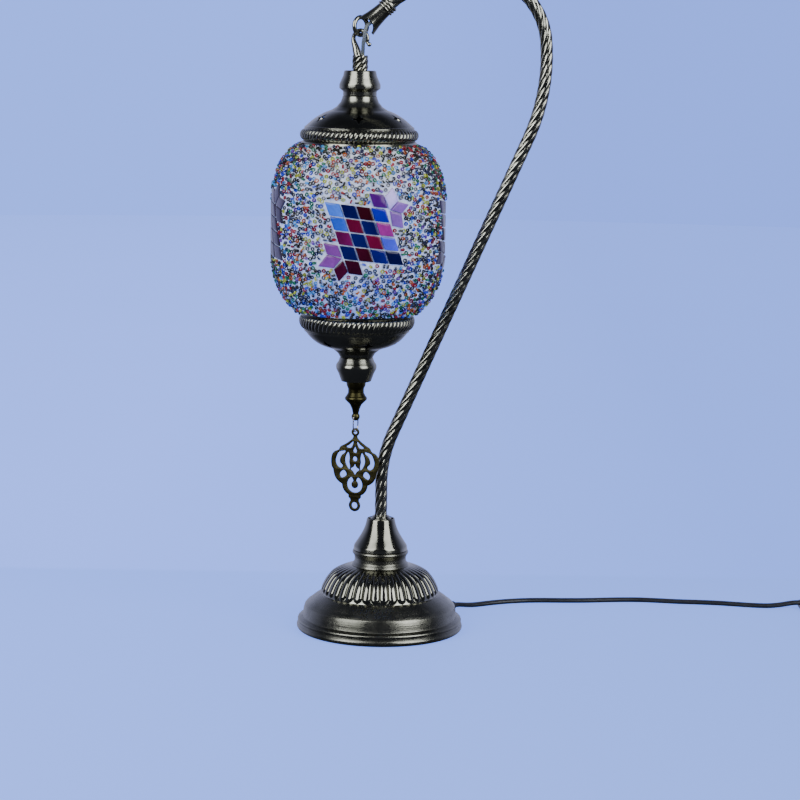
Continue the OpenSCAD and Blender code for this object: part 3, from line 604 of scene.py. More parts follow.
def addTie():
    left, right, top = tie["left"], tie["right"], tie["top"]
    path = [(left, 0.4), (left, 3), (left, 5.6), (left + 0.5, 6.9), (left + 1.9, top), (left + 5, top),
            (right - 5, top), (right - 1.9, top), (right - 0.5, 6.9), (right, 5.6), (right, 3), (right, 0.4)]
    wide, thick = tie["width"] / 2, tie["thick"] / 2
    band = [(-wide, -thick + 0.1), (-wide + 0.3, -thick), (wide - 0.3, -thick), (wide, -thick + 0.1)]
    band += [(-x, -y) for x, y in band]
    middleY = flex["coilCentre"][1]
    shapes = [swept([(x, middleY, z) for x, z in path], [(y, x) for x, y in band], (0, 1, 0))]
    return give(makePiece("coilTie", shapes), "stand", "tie", "black_tie", "coil_tie")


cord, cordPath = addCord()
cordPieces = addSwitch() + addPlug() + [addTie()]
print("cord made")


# Turned outlines are lists of (radius, height); a wall is added on their inner side

def walled(outline, thick):
    p = np.array(outline, float)
    step = np.gradient(p, axis=0)
    normal = np.stack([-step[:, 1], step[:, 0]], -1)
    normal /= np.linalg.norm(normal, axis=1)[:, None]
    inner = p + normal * thick
    inner[:, 0] = np.maximum(inner[:, 0], 0.05)
    return list(p) + list(inner[::-1])


def smoothStep(value, low, high):
    t = np.clip((value - low) / (high - low), 0, 1)
    return t * t * (3 - 2 * t)


# Stand: skirt, fluted dome, collar, cone and lock collar

stand = {
    "ribs": 40, "ribHeight": 2.1, "ribFoot": 29.0, "ribTop": 49,
    "skirt": [(58.6, 0.4), *arc(60.8, 3, 2.6, -80, 50), *arc(61, 7.6, 1.7, -40, 70), (60.2, 9.6),
              (58.9, 10.2), (58.6, 12.2), (58.2, 15.6), (57.4, 18.6), (55.6, 20.6),
              *bez((54, 21.6), (52, 23.4), (49, 26), (44.5, 28))],
    "dome": bez((44.4, 28.05), (41, 37.5), (36, 47), (21.5, 49.95), 40),
    "collar": [(16.5, 50), (22, 50), (21, 51.4), (19.8, 53), (19.6, 56), (20, 57.2),
               *arc(19.4, 60, 1.9, -60, 75), (18.6, 62), (16.5, 62)],
    "cone": [(20.6, 62.05), *bez((20.2, 65), (17, 70.5), (12, 76), (10.6, 85.8), 16), (9.9, 86)],
    "lock": [(4.95, 85.25), (8, 85.25), (8, 86), (6.6, 86.6), (6.6, 87.6), (6, 88), (4.95, 88)],
    "cordHeight": 4.6, "cordHole": 3.6, "cordYaw": 45,
}


def towardCord(out=0.0):  # from an upright axis to the one along which the cord leaves the skirt
    turn = Matrix.Rotation(math.radians(stand["cordYaw"]), 4, "Z")
    place = Matrix.Translation((out, 0, stand["cordHeight"]))
    return turn @ place @ Matrix.Rotation(math.radians(90), 4, "Y")


def addFoot():
    skirt = makePiece("baseSkirt", [spun(walled(eased(stand["skirt"], 0.5, False), 1.0), 192)])
    r = stand["cordHole"]
    cutAway(skirt, [spun([(0, 0), (r, 0), (r, 14), (0, 14)], 24, place=towardCord(52), open=True)])
    give(skirt, "stand", "brushed", "antique_brass", "base_skirt")

    outer = len(stand["dome"])

    def flutes(angle, radius, height):  # round ribs with rounded feet, over deep narrow grooves
        share = (angle * stand["ribs"] / (2 * math.pi)) % 1 * 2 - 1
        foot = 2.6 * share ** 2
        rise = smoothStep(height, stand["ribFoot"] - 0.6 + foot, stand["ribFoot"] + 1.4 + foot)
        rise = rise * (1 - smoothStep(height, stand["ribTop"] - 7, stand["ribTop"] + 1.2))
        bulge = stand["ribHeight"] * rise * np.sqrt(np.maximum(1 - np.abs(share) ** 2.4, 0)) - 0.5 * rise
        bulge[:, outer:] = 0
        return angle, radius + bulge * 0.85, height + bulge * 0.5

    dome = makePiece("flutedDome", [spun(walled(stand["dome"], 1.0), stand["ribs"] * 16, flutes)], sharp=60)
    give(dome, "stand", "polished", "antique_brass", "fluted_dome")
    collar = makePiece("neckCollar", [spun(eased(stand["collar"], 0.35), 144)])
    give(collar, "stand", "brushed", "antique_brass", "neck_collar")
    cone = makePiece("baseCone", [spun(walled(eased(stand["cone"], 0.5, False), 1.0), 144)])
    give(cone, "stand", "polished", "antique_brass", "base_cone")
    lock = makePiece("armCollar", [spun(eased(stand["lock"], 0.3), 96)])
    give(lock, "stand", "polished", "olive_brass", "arm_collar")


# Arm: each stretch is a straight length, or an arc with its radius and its turn

arm = {
    "start": (0, 75, 90), "stretches": [(38,), (97, -23.6), (244,), (146, 29), (53, 82.5), (95, 45)],
    "radius": 4.8, "strands": 8, "lead": 66, "groove": 1.35, "bore": 3.2,
}


def armRoute(step=1.6):
    x, z, heading = arm["start"]
    points = [(x, 0, z)]
    for stretch in arm["stretches"]:
        arcLength = stretch[0] if len(stretch) == 1 else stretch[0] * math.radians(abs(stretch[1]))
        pieces = max(2, round(arcLength / step))
        for _ in range(pieces):
            turn = 0 if len(stretch) == 1 else stretch[1] / pieces
            middle = math.radians(heading + turn / 2)
            chord = arcLength / pieces
            if turn:
                chord = 2 * stretch[0] * math.sin(math.radians(abs(turn)) / 2)
            x, z, heading = x + chord * math.cos(middle), z + chord * math.sin(middle), heading + turn
            points.append((x, 0, z))
    return np.array(points), heading


def endPlace():  # from the socket's own axes to the arm's end
    points, heading = armRoute()
    a = math.radians(heading)
    along, across = Vector((math.cos(a), 0, math.sin(a))), Vector((math.sin(a), 0, -math.cos(a)))
    turn = Matrix((across, Vector((0, 1, 0)), along)).transposed().to_4x4()
    return Matrix.Translation(Vector(points[-1])) @ turn


def hollow(path, outerRings, bore, up):  # a tube with a bore, its walls joined at both ends
    sides = outerRings.shape[1]
    inner = np.repeat(circle(bore, sides)[None], len(path), 0)
    n = len(path)
    outside, faces = swept(path, outerRings, up)
    inside, _ = swept(path, inner, up)
    faces = faces[:-2]
    total = n * sides
    faces += [tuple(v + total for v in face[::-1]) for face in faces]
    for row, flip in ((0, 1), ((n - 1) * sides, -1)):
        for k in range(sides):
            j = (k + 1) % sides
            faces.append((row + k, row + j, total + row + j, total + row + k)[::flip])
    return np.concatenate([outside, inside]), faces


def addArm():
    path, _ = armRoute()
    gone = np.concatenate([[0], np.cumsum(np.linalg.norm(np.diff(path, axis=0), axis=1))])
    rope = strands(gone, arm["radius"], arm["groove"], arm["strands"], arm["lead"], 78)
    tube = makePiece("ropeArm", [hollow(path, rope, arm["bore"], (0, 1, 0))], sharp=50)
    give(tube, "stand", "rope", "antique_brass", "arm_tube")

    end = endPlace()
    outline = [(4.85, -5), (6, -5)]
    for height in (-3.6, -1.4, 0.8):  # three beads where the rope enters
        outline += arc(6, height, 0.9, -80, 80)
    flare = [(5.8, 2), (6.2, 7), (7, 13), (8.7, 20.6), (7.9, 20.6), (6.2, 13), (5.2, 7), (4.4, 2.6)]
    outline += [*eased(flare, 0.3, False), (2.4, 1.2), (2.4, 0.2), (4.85, 0.2)]
    bell = makePiece("armEndSocket", [spun(outline, 144, place=end)])
    turn = Matrix.Rotation(math.radians(90), 4, "Y")
    cutAway(bell, [
        spun([(0, -16), (9.5, -16), (9.5, 16), (0, 16)], 64, open=True,
             place=end @ Matrix.Translation((0, side * 14, 21.6)) @ turn) for side in (-1, 1)])
    give(bell, "stand", "cast", "olive_brass", "arm_end_socket")

    yaw = math.radians(hook["eyeYaw"])
    ringPath = []
    for across, rise in circle(hook["eyeRadius"], 64):
        ringPath.append(
            (lanternX + across * math.cos(yaw), across * math.sin(yaw), hook["eyeHeight"] + rise))
    stubPlace = end @ Matrix.Translation((3.6, 0, 0))
    stub = spun([(0, 10), (1.5, 10), (1.5, 16.4), (0, 16.4)], 20, place=stubPlace, open=True)
    square = (-math.sin(yaw), math.cos(yaw), 0)
    eye = makePiece("armEye", [swept(ringPath, circle(hook["eyeWire"], 20), square, ring=True), stub])
    give(eye, "stand", "cast", "olive_brass", "arm_eye")


# Hanging eye, hook and twisted stem

hook = {
    "eyeYaw": 45, "eyeRadius": 6.5, "eyeWire": 1.7, "eyeHeight": 456.4,
    "yaw": -35, "radius": 6.4, "wire": 1.45, "height": 446.95,
    "stemFoot": 424, "stemHeight": 11, "stemRadius": 6.0, "stemStrands": 6, "stemLead": 26,
    "leadOut": 2,  # the stem's lead hole from its axis
    "leadPath": [(-15.3, -4.6, 457), (-16.4, -5.5, 454.4), (-17, -6.1, 451.4), (-17.4, -6, 448),
                 (-18, -5.1, 444.6), (-18.2, -3.4, 441), (-18.3, -2, 438)],
}


def addHook():
    around = [(hook["radius"] * math.cos(a), 0, hook["radius"] * math.sin(a))
              for a in np.radians(np.linspace(200, -20, 45))]
    shank = [(-2.6, 0, -12.4), (-3, 0, -10), (-4.4, 0, -6)]
    path = smoothRoute(shank + around + [(7, 0, -3.05), (8, 0, -3.9)], 0.6)
    share = np.linspace(0, 1, len(path))
    wire = np.interp(share, [0, 0.1, 0.2, 0.28, 0.36, 0.9, 1], [3.1, 3.1, 2.5, 2.1, 1.6, 1.4, 1.2])
    section = circle(1, 20)[None] * wire[:, None, None]
    place = atLantern(hook["height"], hook["yaw"])
    wireHook = makePiece("lanternHook", [swept(path, section, (0, 1, 0), place=place)])
    for centre, r in (((8, 0, -3.9), 1.7), ((-6.0, 0, -2.2), 1.9)):
        addBall(wireHook, centre, r, place)
    give(wireHook, "lantern", "cast", "olive_brass", "lantern_hook")

    rise = np.linspace(0, hook["stemHeight"], 40)
    swell = 1 - 0.07 * np.abs(rise / hook["stemHeight"] * 2 - 1) ** 6
    twist = strands(rise, hook["stemRadius"], 1.2, hook["stemStrands"], hook["stemLead"], 80)
    twist *= swell[:, None, None]
    path = [(lanternX, 0, hook["stemFoot"] + h) for h in rise]
    stem = makePiece("twistStem", [swept(path, twist, (0, 1, 0))], sharp=50)
    bore = atLantern(0, hook["yaw"]) @ Matrix.Translation((hook["leadOut"], 0, 420))
    cutAway(stem, [spun([(0, 0), (1.6, 0), (1.6, 20), (0, 20)], 24, place=bore, open=True)], 50)
    give(stem, "lantern", "cast", "olive_brass", "twist_stem")

    points, heading = armRoute()
    a = math.radians(heading)
    end, along = points[-1], np.array([math.cos(a), 0, math.sin(a)])
    yaw, leadOut = math.radians(hook["yaw"]), hook["leadOut"]
    top = np.array([lanternX + leadOut * math.cos(yaw), leadOut * math.sin(yaw), 435])
    route = [end + along * 0.4, end + along * 3 + [0, -0.3, 0], end + along * 7 + [0.2, -1.5, -0.2],
             end + along * 13 + [0.6, -3.4, -0.6], *hook["leadPath"], top + [0.1, 0, 1.2],
             top + [0, 0, 0.05]]
    lead = makePiece("hangingLead", [swept(smoothRoute(route, 0.8), circle(1.4, 18), (0, 1, 0))])
    give(lead, None, "lead", "grey_pvc", "hanging_lead")
    tuple(end * mm)
    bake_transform(lead)


# Lantern: turned metalwork

lantern = {
    "gadroons": 68, "gadroonHeight": 1.15, "gadroonSlope": 0.61, "ventOuter": 5.7, "ventInner": 2.2,
    "cup": [(5, 405), (12.6, 405), (12.6, 408.5), (15.4, 410.6), (15.4, 413.6), (13.7, 417.5), (12.6, 420),
            (11.9, 423.4), (11, 423.95), (4, 423.95)],
    "cap": [(41.6, 369), (43.3, 369), (43.5, 369.6), (43, 371), (42.2, 371.8),
            *arc(39.2, 376.3, 4.6, -60, 62, 26), (40.9, 381.2), (41.1, 381.8), (40.6, 382.5),
            *bez((40, 382.7), (37, 385.5), (31, 391.5), (21, 394.7), 20),
            (17.2, 397.1), (14.4, 400.5), (13.2, 403.4), (13, 404.95), (5.1, 404.95)],
    "bowl": [(41.8, 243.8), (42.6, 243.8), (42.8, 243.2), (42.3, 242), (41.6, 241.6),
             *bez((41.4, 241.4), (44.2, 239.4), (43.6, 233.8), (39.9, 230.9), 26),
             (39.9, 230.1), (39.6, 229.4), (38.9, 229.1),
             *bez((38.4, 228.6), (34.6, 223.4), (30, 219.4), (22.6, 217.4), 20), (18, 215.8),
             (14.2, 212.6), (12.4, 209.5), (3.1, 209.5)],
    "lowerCup": [(3.1, 191.2), (11.3, 191.2), (12.4, 194.2), (13.5, 197.3), (15.1, 200.4),
                 (15.5, 202.2), (15.2, 204), (13.5, 206.6), (12.6, 209.45), (3.1, 209.45)],
    "finial": [(3.1, 191.15), (7.6, 191.15), (7.1, 188), (6, 185.4), (6, 182.4), *arc(6.4, 178, 2, 60, -60),
               (4.5, 173.4), (3, 170), (2.3, 166.8), (2.2, 166)],
}


def star(outer, inner, points=4, deep=7):
    ring = []
    for i in range(points * 2):
        r = inner if i % 2 else outer
        a = math.pi * i / points
        ring.append((r * math.cos(a), r * math.sin(a)))
    return lofted([[(x, y, z) for x, y in ring] for z in (-deep, deep)])


def starHoles(z, radius, phase, tilt):
    shapes = []
    for i in range(6):
        place = atLantern(0, 60 * i + phase) @ Matrix.Translation((radius, 0, z))
        place = place @ Matrix.Rotation(math.radians(tilt), 4, "Y")
        points, faces = star(lantern["ventOuter"], lantern["ventInner"])
        shapes.append((moved(points, place), faces))
    return shapes


def gadroons(low, high, count):
    def detail(angle, radius, height):
        turns = angle / (2 * math.pi) - height * lantern["gadroonSlope"] / 360
        share = (lantern["gadroons"] * turns) % 1 * 2 - 1
        window = smoothStep(height, low, low + 1.2) * (1 - smoothStep(height, high - 1.2, high))
        rib = window * (lantern["gadroonHeight"] * np.sqrt(np.maximum(1 - share ** 2, 0)) - 0.6)
        rib[:, count:] = 0
        return angle, radius + rib, height
    return detail


def addLanternMetal():
    columns = lantern["gadroons"] * 10
    cap = eased(lantern["cap"], 0.35, False)
    topCap = makePiece("topCap", [
        spun(walled(cap, 0.9), columns, gadroons(371.9, 380.9, len(cap)), atLantern())], 60)
    cutAway(topCap, starHoles(388.4, 31.6, -90, 45), 60)
    give(topCap, "lantern", "spun", "antique_brass", "top_cap")
    bowl = eased(lantern["bowl"], 0.35, False)
    holder = makePiece("bottomHolder", [
        spun(walled(bowl, -0.9), columns, gadroons(231, 241.6, len(bowl)), atLantern())], 60)
    cutAway(holder, starHoles(221.6, 30.6, -74, -45), 60)
    give(holder, "lantern", "spun", "antique_brass", "bottom_holder")
    for name, key, node in (("topCup", "cup", "top_cup"), ("bottomCup", "lowerCup", "bottom_cup")):
        piece = makePiece(name, [spun(eased(lantern[key], 0.5), 144, place=atLantern())])
        give(piece, "lantern", "spun", "antique_brass", node)
    top = makePiece("finial", [spun(eased(lantern["finial"], 0.4), 96, place=atLantern())])
    addBall(top, (0, 0, charm["linkTop"]), 3.2, atLantern(), 40)
    hole = atLantern(charm["linkTop"], charm["yaw"]) @ Matrix.Rotation(math.radians(90), 4, "X")
    cutAway(top, [spun([(0, -5), (0.9, -5), (0.9, 5), (0, 5)], 20, place=hole, open=True)])
    give(top, "lantern", "olive", "olive_brass", "finial")


# Globe: a grout shell, glass tiles and seed beads

globe = {
    "curve": [(42.2, 369.8), *bez((44, 367.6), (51, 366), (62, 352), (63.2, 330), 24),
              *bez((63.2, 284), (61.5, 268), (54.5, 251), (41, 243), 30)],
    "top": 369.2, "foot": 244.2, "grout": 0.9,
    "lyingShare": 0.62, "beadOuter": 1.62, "beadBore": 0.78, "spacing": 2.62, "tries": 90000,
    "tile": 2.3, "gap": 0.9, "width": 10.2, "height": 9.5, "shear": 19, "fall": 1.2, "middle": 307.5,
    "panels": [-85, 5, 95, 185],
    "columns": [(-2.5, 1.5), (-1.5, 1.5), (-1.5, 1.5), (-1.5, 2.5)],
}


def globePlace(height):  # radius and outward tilt of the glass at a height
    curve = np.array(globe["curve"])[::-1]
    r = np.interp(height, curve[:, 1], curve[:, 0])
    above, below = (np.interp(height + step, curve[:, 1], curve[:, 0]) for step in (0.5, -0.5))
    slope = above - below
    length = np.sqrt(1 + slope ** 2)
    return r, 1 / length, -slope / length


def onGlobe(yaw, u, v, lift):  # a panel's own (u right, v up) to a place over the glass
    height = globe["middle"] + v
    r, out, up = globePlace(height)
    a = np.radians(yaw) + np.arcsin(np.clip(u / (r + 1.5), -1, 1))
    reach = r + lift * out
    return np.stack([lanternX + reach * np.cos(a), reach * np.sin(a), height + lift * up], -1)


def gridPlace(column, row):
    pitchX, pitchZ = globe["width"] + globe["gap"], globe["height"] + globe["gap"]
    lean = math.tan(math.radians(globe["shear"]))
    return column * pitchX - lean * row * pitchZ, row * pitchZ - column * globe["fall"]


def tileList():  # every tile of a panel: its colour and its corners
    dx = globe["width"] / 2 / (globe["width"] + globe["gap"])
    dz = globe["height"] / 2 / (globe["height"] + globe["gap"])
    names = ["A5 A4 A3 A2 A1", "B4 B3 B2 B1", "C4 C3 C2 C1", "D4 D3 D2 D1 D0"]
    tiles = []
    for c, (low, high) in enumerate(globe["columns"]):
        labels = names[c].split()
        for i in range(int(high - low) + 1):
            m, row = c - 1.5, low + i
            shift = 2 if labels[i] == "D0" else 0
            corners = [
                gridPlace(m + sx * dx, row + sz * dz) for sx, sz in ((-1, -1), (1, -1), (1, 1), (-1, 1))]
            tiles.append((labels[i], [(u + shift, v) for u, v in corners]))
    return tiles + [
        ("E", [(14.1, 26.8), (18, 17.8), (24.3, 24.3), (19.9, 33.3)]),
        ("F", [(18.6, 17.6), (27.1, 15), (32.3, 21.2), (24, 23.6)]),
        ("F", [(18.2, 17), (20.3, 6), (28.4, 4.4), (26.8, 14.6)]),
        ("G", [(-29.4, -7), (-26.9, -15.1), (-16.3, -17.2), (-19.5, -8.4)]),
        ("G", [(-26.9, -15.5), (-32.9, -23.9), (-22, -24.8), (-16.4, -17.9)]),
        ("H", [(-15.6, -19.3), (-21.8, -25.5), (-18.1, -34.5), (-11.9, -27.1)]),
    ]


tileTints = {
    "A1": (100, 150, 235), "A2": (70, 110, 205), "A3": (120, 0, 80), "A4": (5, 20, 90), "A5": (75, 0, 40),
    "B1": (0, 0, 80), "B2": (110, 0, 50), "B3": (0, 20, 90), "B4": (75, 0, 35), "C1": (65, 0, 25),
    "C2": (0, 0, 90), "C3": (130, 0, 60), "C4": (10, 0, 120), "D0": (100, 0, 120), "D1": (20, 20, 170),
    "D2": (185, 60, 145), "D3": (95, 100, 215), "D4": (0, 0, 70), "E": (220, 195, 235), "F": (165, 115, 180),
    "G": (150, 80, 150), "H": (90, 0, 50), "S1": (96, 84, 98), "S2": (78, 66, 82), "S3": (112, 98, 108),
}
smokyTiles = ["S1", "S2", "S3"]


def linear(value):
    share = value / 255
    return share / 12.92 if share < 0.04045 else ((share + 0.055) / 1.055) ** 2.4


def densified(corners, r, steps):  # a tile's outline: rounded corners, and points along its sides
    line = eased(corners, r)
    out = []
    for i, p in enumerate(line):
        q = np.array(line[(i + 1) % len(line)])
        n = max(1, round(np.linalg.norm(q - p) / steps))
        out += [p + (q - p) * k / n for k in range(n)]
    return np.array(out)


def tileShape(yaw, corners):
    line = densified(corners, 0.4, 1.3)
    middle = line.mean(0)
    size = np.linalg.norm(line - middle, axis=1).mean()
    top = globe["tile"]
    levels = [(1, 0.2), (1, top - 0.45), (1 - 0.12 / size, top - 0.15), (1 - 0.45 / size, top),
              (0.7, top + 0.05), (0.4, top + 0.08), (0.1, top + 0.08)]
    rings = []
    for share, lift in levels:
        flat = middle + (line - middle) * share
        rings.append(onGlobe(yaw, flat[:, 0], flat[:, 1], lift))
    return lofted(rings)


def addTiles():
    palette = {}
    for key, tint in tileTints.items():
        deep = [max(0.003, linear(c)) for c in tint]
        palette[key] = tileGlass(
            "tile" + key, rgb(*[c ** 1.2 * 0.6 for c in deep]), rgb(*[c ** 1.15 for c in deep]))
    order = list(palette)
    nodes = ["tiles_front", "tiles_right", "tiles_back", "tiles_left"]
    chance = random.Random(7)
    for yaw, node in zip(globe["panels"], nodes):
        shapes, kinds = [], []
        for key, corners in tileList():
            shape = tileShape(yaw, corners)
            shapes.append(shape)
            if node in ("tiles_right", "tiles_left"):
                key = chance.choice(smokyTiles)
            kinds += [order.index(key)] * len(shape[1])
        piece = makePiece(node.replace("tiles_", "mosaic_"), shapes, weld=False, kinds=kinds)
        for key in order:
            piece.data.materials.append(palette[key])
        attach(piece, "lantern")
        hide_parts(node)


def panelPlace(point):  # a place on the globe to each panel's own (u, v), for those that face it
    a, height = point
    r, _, _ = globePlace(height)
    for yaw in globe["panels"]:
        turn = (a - math.radians(yaw) + math.pi) % (2 * math.pi) - math.pi
        if abs(turn) < 1.2:
            yield (r + 1.5) * math.sin(turn), height - globe["middle"]


def grown(corners, margin):
    middle = np.mean(corners, 0)
    out = []
    for i, p in enumerate(corners):
        p = np.array(p, float)
        a = np.array(corners[i - 1], float) - p
        b = np.array(corners[(i + 1) % len(corners)], float) - p
        a, b = a / np.linalg.norm(a), b / np.linalg.norm(b)
        away = -(a + b)
        away /= np.linalg.norm(away)
        if away @ (p - middle) < 0:
            away = -away
        spread = max(0.35, math.sqrt(max((1 - a @ b) / 2, 0)))
        out.append(p + away * margin / spread)
    return np.array(out)


def insideAny(shapes, u, v):
    for ring in shapes:
        hit = False
        for i in range(len(ring)):
            (ax, ay), (bx, by) = ring[i - 1], ring[i]
            if (ay > v) != (by > v) and u < (bx - ax) * (v - ay) / (by - ay) + ax:
                hit = not hit
        if hit:
            return True
    return False


def addGrout():
    heights = np.linspace(globe["top"] - 0.4, globe["foot"] + 0.3, 150)
    around = 420
    lumps = wobble(5, around, len(heights), 2) * 0.10 + wobble(6, around, len(heights), 6) * 0.12
    r, out, up = globePlace(heights)
    angle = np.linspace(0, 2 * math.pi, around, endpoint=False)[:, None]
    lift = globe["grout"] + lumps
    lift[:, 0] = lift[:, -1] = globe["grout"]
    outerR, outerZ = r + lift * out, heights + lift * up
    innerR, innerZ = (r + 0.05 * out)[None, ::-1] + 0 * lift, (heights + 0.05 * up)[None, ::-1] + 0 * lift
    radius, height = np.concatenate([outerR, innerR], 1), np.concatenate([outerZ, innerZ], 1)
    points = np.stack([lanternX + radius * np.cos(angle), radius * np.sin(angle), height], -1).reshape(-1, 3)
    grout = makePiece("beadGrout", [(points, ringFaces(around, radius.shape[1]))], 60)
    give(grout, "lantern", "grout", "bead_glass", "bead_skin")


beadKinds = [  # name, colour and share of the whole
    ("clearBrown", (0.035, 0.022, 0.015), 0.20), ("clearNavy", (0.018, 0.024, 0.07), 0.18),
    ("clearOlive", (0.03, 0.035, 0.02), 0.12), ("red", (0.36, 0.01, 0.015), 0.12),
    ("orange", (0.5, 0.11, 0.01), 0.07), ("lime", (0.5, 0.52, 0.03), 0.09),
    ("green", (0.015, 0.20, 0.07), 0.08), ("blue", (0.025, 0.05, 0.48), 0.09),
    ("sky", (0.07, 0.34, 0.65), 0.06), ("violet", (0.16, 0.035, 0.28), 0.03),
]


def scatter():  # bead places: random, and no two closer than the spacing
    chance = random.Random(23)
    keepOut = [grown(corners, globe["beadOuter"] + 0.35) for _, corners in tileList()]
    heights = np.linspace(globe["foot"] + 1.6, globe["top"] - 1.2, 200)
    r, _, _ = globePlace(heights)
    weights = np.cumsum(r)
    cell, grid, places = globe["spacing"], {}, []
    for _ in range(globe["tries"]):
        height = float(np.interp(chance.random() * weights[-1], weights, heights))
        a = chance.random() * 2 * math.pi
        radius, out, up = (float(v) for v in globePlace(height))
        point = np.array([radius * math.cos(a), radius * math.sin(a), height])
        key = tuple((point // cell).astype(int))
        near = [
            other for dx in (-1, 0, 1) for dy in (-1, 0, 1) for dz in (-1, 0, 1)
            for other in grid.get((key[0] + dx, key[1] + dy, key[2] + dz), ())]
        if any(((point - other) ** 2).sum() < cell * cell for other in near):
            continue
        if any(insideAny(keepOut, u, v) for u, v in panelPlace((a, height))):
            continue
        grid.setdefault(key, []).append(point)
        places.append((point, np.array([out * math.cos(a), out * math.sin(a), up])))
    return places


def addBeads():
    chance = random.Random(41)
    around, sides = 12, 6
    big = (globe["beadOuter"] + globe["beadBore"]) / 2
    small = (globe["beadOuter"] - globe["beadBore"]) / 2
    a = np.linspace(0, 2 * math.pi, around, endpoint=False)[:, None]
    b = np.linspace(0, 2 * math.pi, sides, endpoint=False)[None]
    reach = big + small * np.cos(b)
    rise = 0.0 * a + small * 1.9 * np.sin(b)
    beadPoints = np.stack([reach * np.cos(a), reach * np.sin(a), rise], -1).reshape(-1, 3)
    beadFaces = ringFaces(around, sides)
    batches = {name: [] for name, _, _ in beadKinds}
    names, shares = [k[0] for k in beadKinds], [k[2] for k in beadKinds]
    for point, normal in scatter():
        kind = chance.choices(names, shares)[0]
        lying = chance.random() < globe["lyingShare"]
        side = Vector(normal).orthogonal().normalized()
        side = Quaternion(Vector(normal), chance.random() * 6.283) @ side
        axis = (Vector(normal) + side * chance.uniform(0, 0.45)).normalized()
        if not lying:
            axis = (side + Vector(normal) * chance.uniform(-0.35, 0.35)).normalized()
        turn = np.array(Vector(axis).to_track_quat("Z", "X").to_matrix())
        size = chance.uniform(0.92, 1.06)
        lift = globe["grout"] + (0.35 if lying else 0.75)
        place = point + normal * lift + [lanternX, 0, 0]
        batches[kind].append((beadPoints * size @ turn.T + place, beadFaces))
    for name, tint, _ in beadKinds:
        piece = makePiece("beads_" + name, batches[name], 60, weld=False)
        glass = beadGlass("bead" + name, scaled(tint, 0.5), scaled(tint, 1.15, 0.006))
        give(piece, "lantern", glass, "bead_glass", "bead_skin")
    print("beads", sum(len(v) for v in batches.values()))


# Charm and its wire link

charm = {
    "yaw": -24, "thick": 1.2, "edge": 0.28,
    "linkHalf": 4.2, "linkWire": 0.5, "linkTop": 164, "linkLow": 156.7,
    "lobes": [
        [(1.5, 148.7), (2.1, 147.3), (3.9, 145.5), (6.8, 143.4), (9.4, 141.8), (11.6, 140.7)],
        [(12.7, 139.6), (13.9, 137.6), (16.9, 136.2), (19.1, 133.8), (19.9, 130.3), (19.9, 126.9),
         (19.4, 124.1)],
        [(18.2, 122.4), (17.7, 120), (16.9, 117.2), (15.1, 114.4), (12.7, 112.4)],
        [(10.6, 111.4), (10.3, 109.6), (9.1, 106.8), (7, 104.5)],
        [(5.1, 103.4), (5, 101.7), (3.6, 100.3)],
    ],
    "sideOpenings": [
        [(8.3, 137.1), (13.3, 135.8), (15.4, 132.4), (16.2, 128.9), (15.1, 125.5), (12.9, 123.8),
         (10.9, 124.1), (10.3, 125.8), (12.4, 128), (12.4, 131), (10.9, 133.8), (8.8, 135.4)],
        [(5.7, 136.3), (7.9, 132.7), (8.2, 128.9), (6.7, 125.2), (4.7, 123), (4.1, 125.5), (4.8, 128.9),
         (4.5, 132.4)],
        [(1.5, 144.8), (4.6, 142.2), (7.2, 140.2), (4.2, 139.6), (2.4, 141.2)],
        [(9.4, 122), (11.6, 120.6), (12.6, 118.4), (11.2, 116.2), (8.8, 117), (7, 118.6), (7.6, 120.8)],
    ],
    "middleOpenings": [
        [(0, 141), (0.7, 139.4), (1.5, 137.8), (1, 136.5), (0, 136.1), (-1, 136.5), (-1.5, 137.8),
         (-0.7, 139.4)],
        [(0, 127.5), (1.2, 125.2), (3.6, 123.4), (1.6, 121.6), (0, 119.3), (-1.6, 121.6), (-3.6, 123.4),
         (-1.2, 125.2)],
        [(2.7, 117.1), (5.2, 115.2), (6.3, 112), (5.6, 108.6), (3.2, 106.2), (0, 105.4), (-3.2, 106.2),
         (-5.6, 108.6), (-6.3, 112), (-5.2, 115.2), (-2.7, 117.1), (-1.2, 114.6), (-2.4, 113.2),
         (-2.7, 111.2), (-1.8, 109.4), (0, 108.7), (1.8, 109.4), (2.7, 111.2), (2.4, 113.2), (1.2, 114.6)],
    ],
    "roundHoles": [(152, 1.5), (95.5, 2.4), (131.4, 1.8)],  # height and radius
}


def rounded(points, closed=True, per=5):
    p = np.array(points, float)
    if closed:
        p = np.concatenate([p[-1:], p, p[:2]])
    else:
        p = np.concatenate([[2 * p[0] - p[1]], p, [2 * p[-1] - p[-2]]])
    out = []
    for i in range(1, len(p) - 2):
        for t in np.linspace(0, 1, per, endpoint=False):
            out.append(catmull(p[i - 1:i + 3], t))
    if not closed:
        out.append(p[-2])
    return [tuple(q) for q in out]


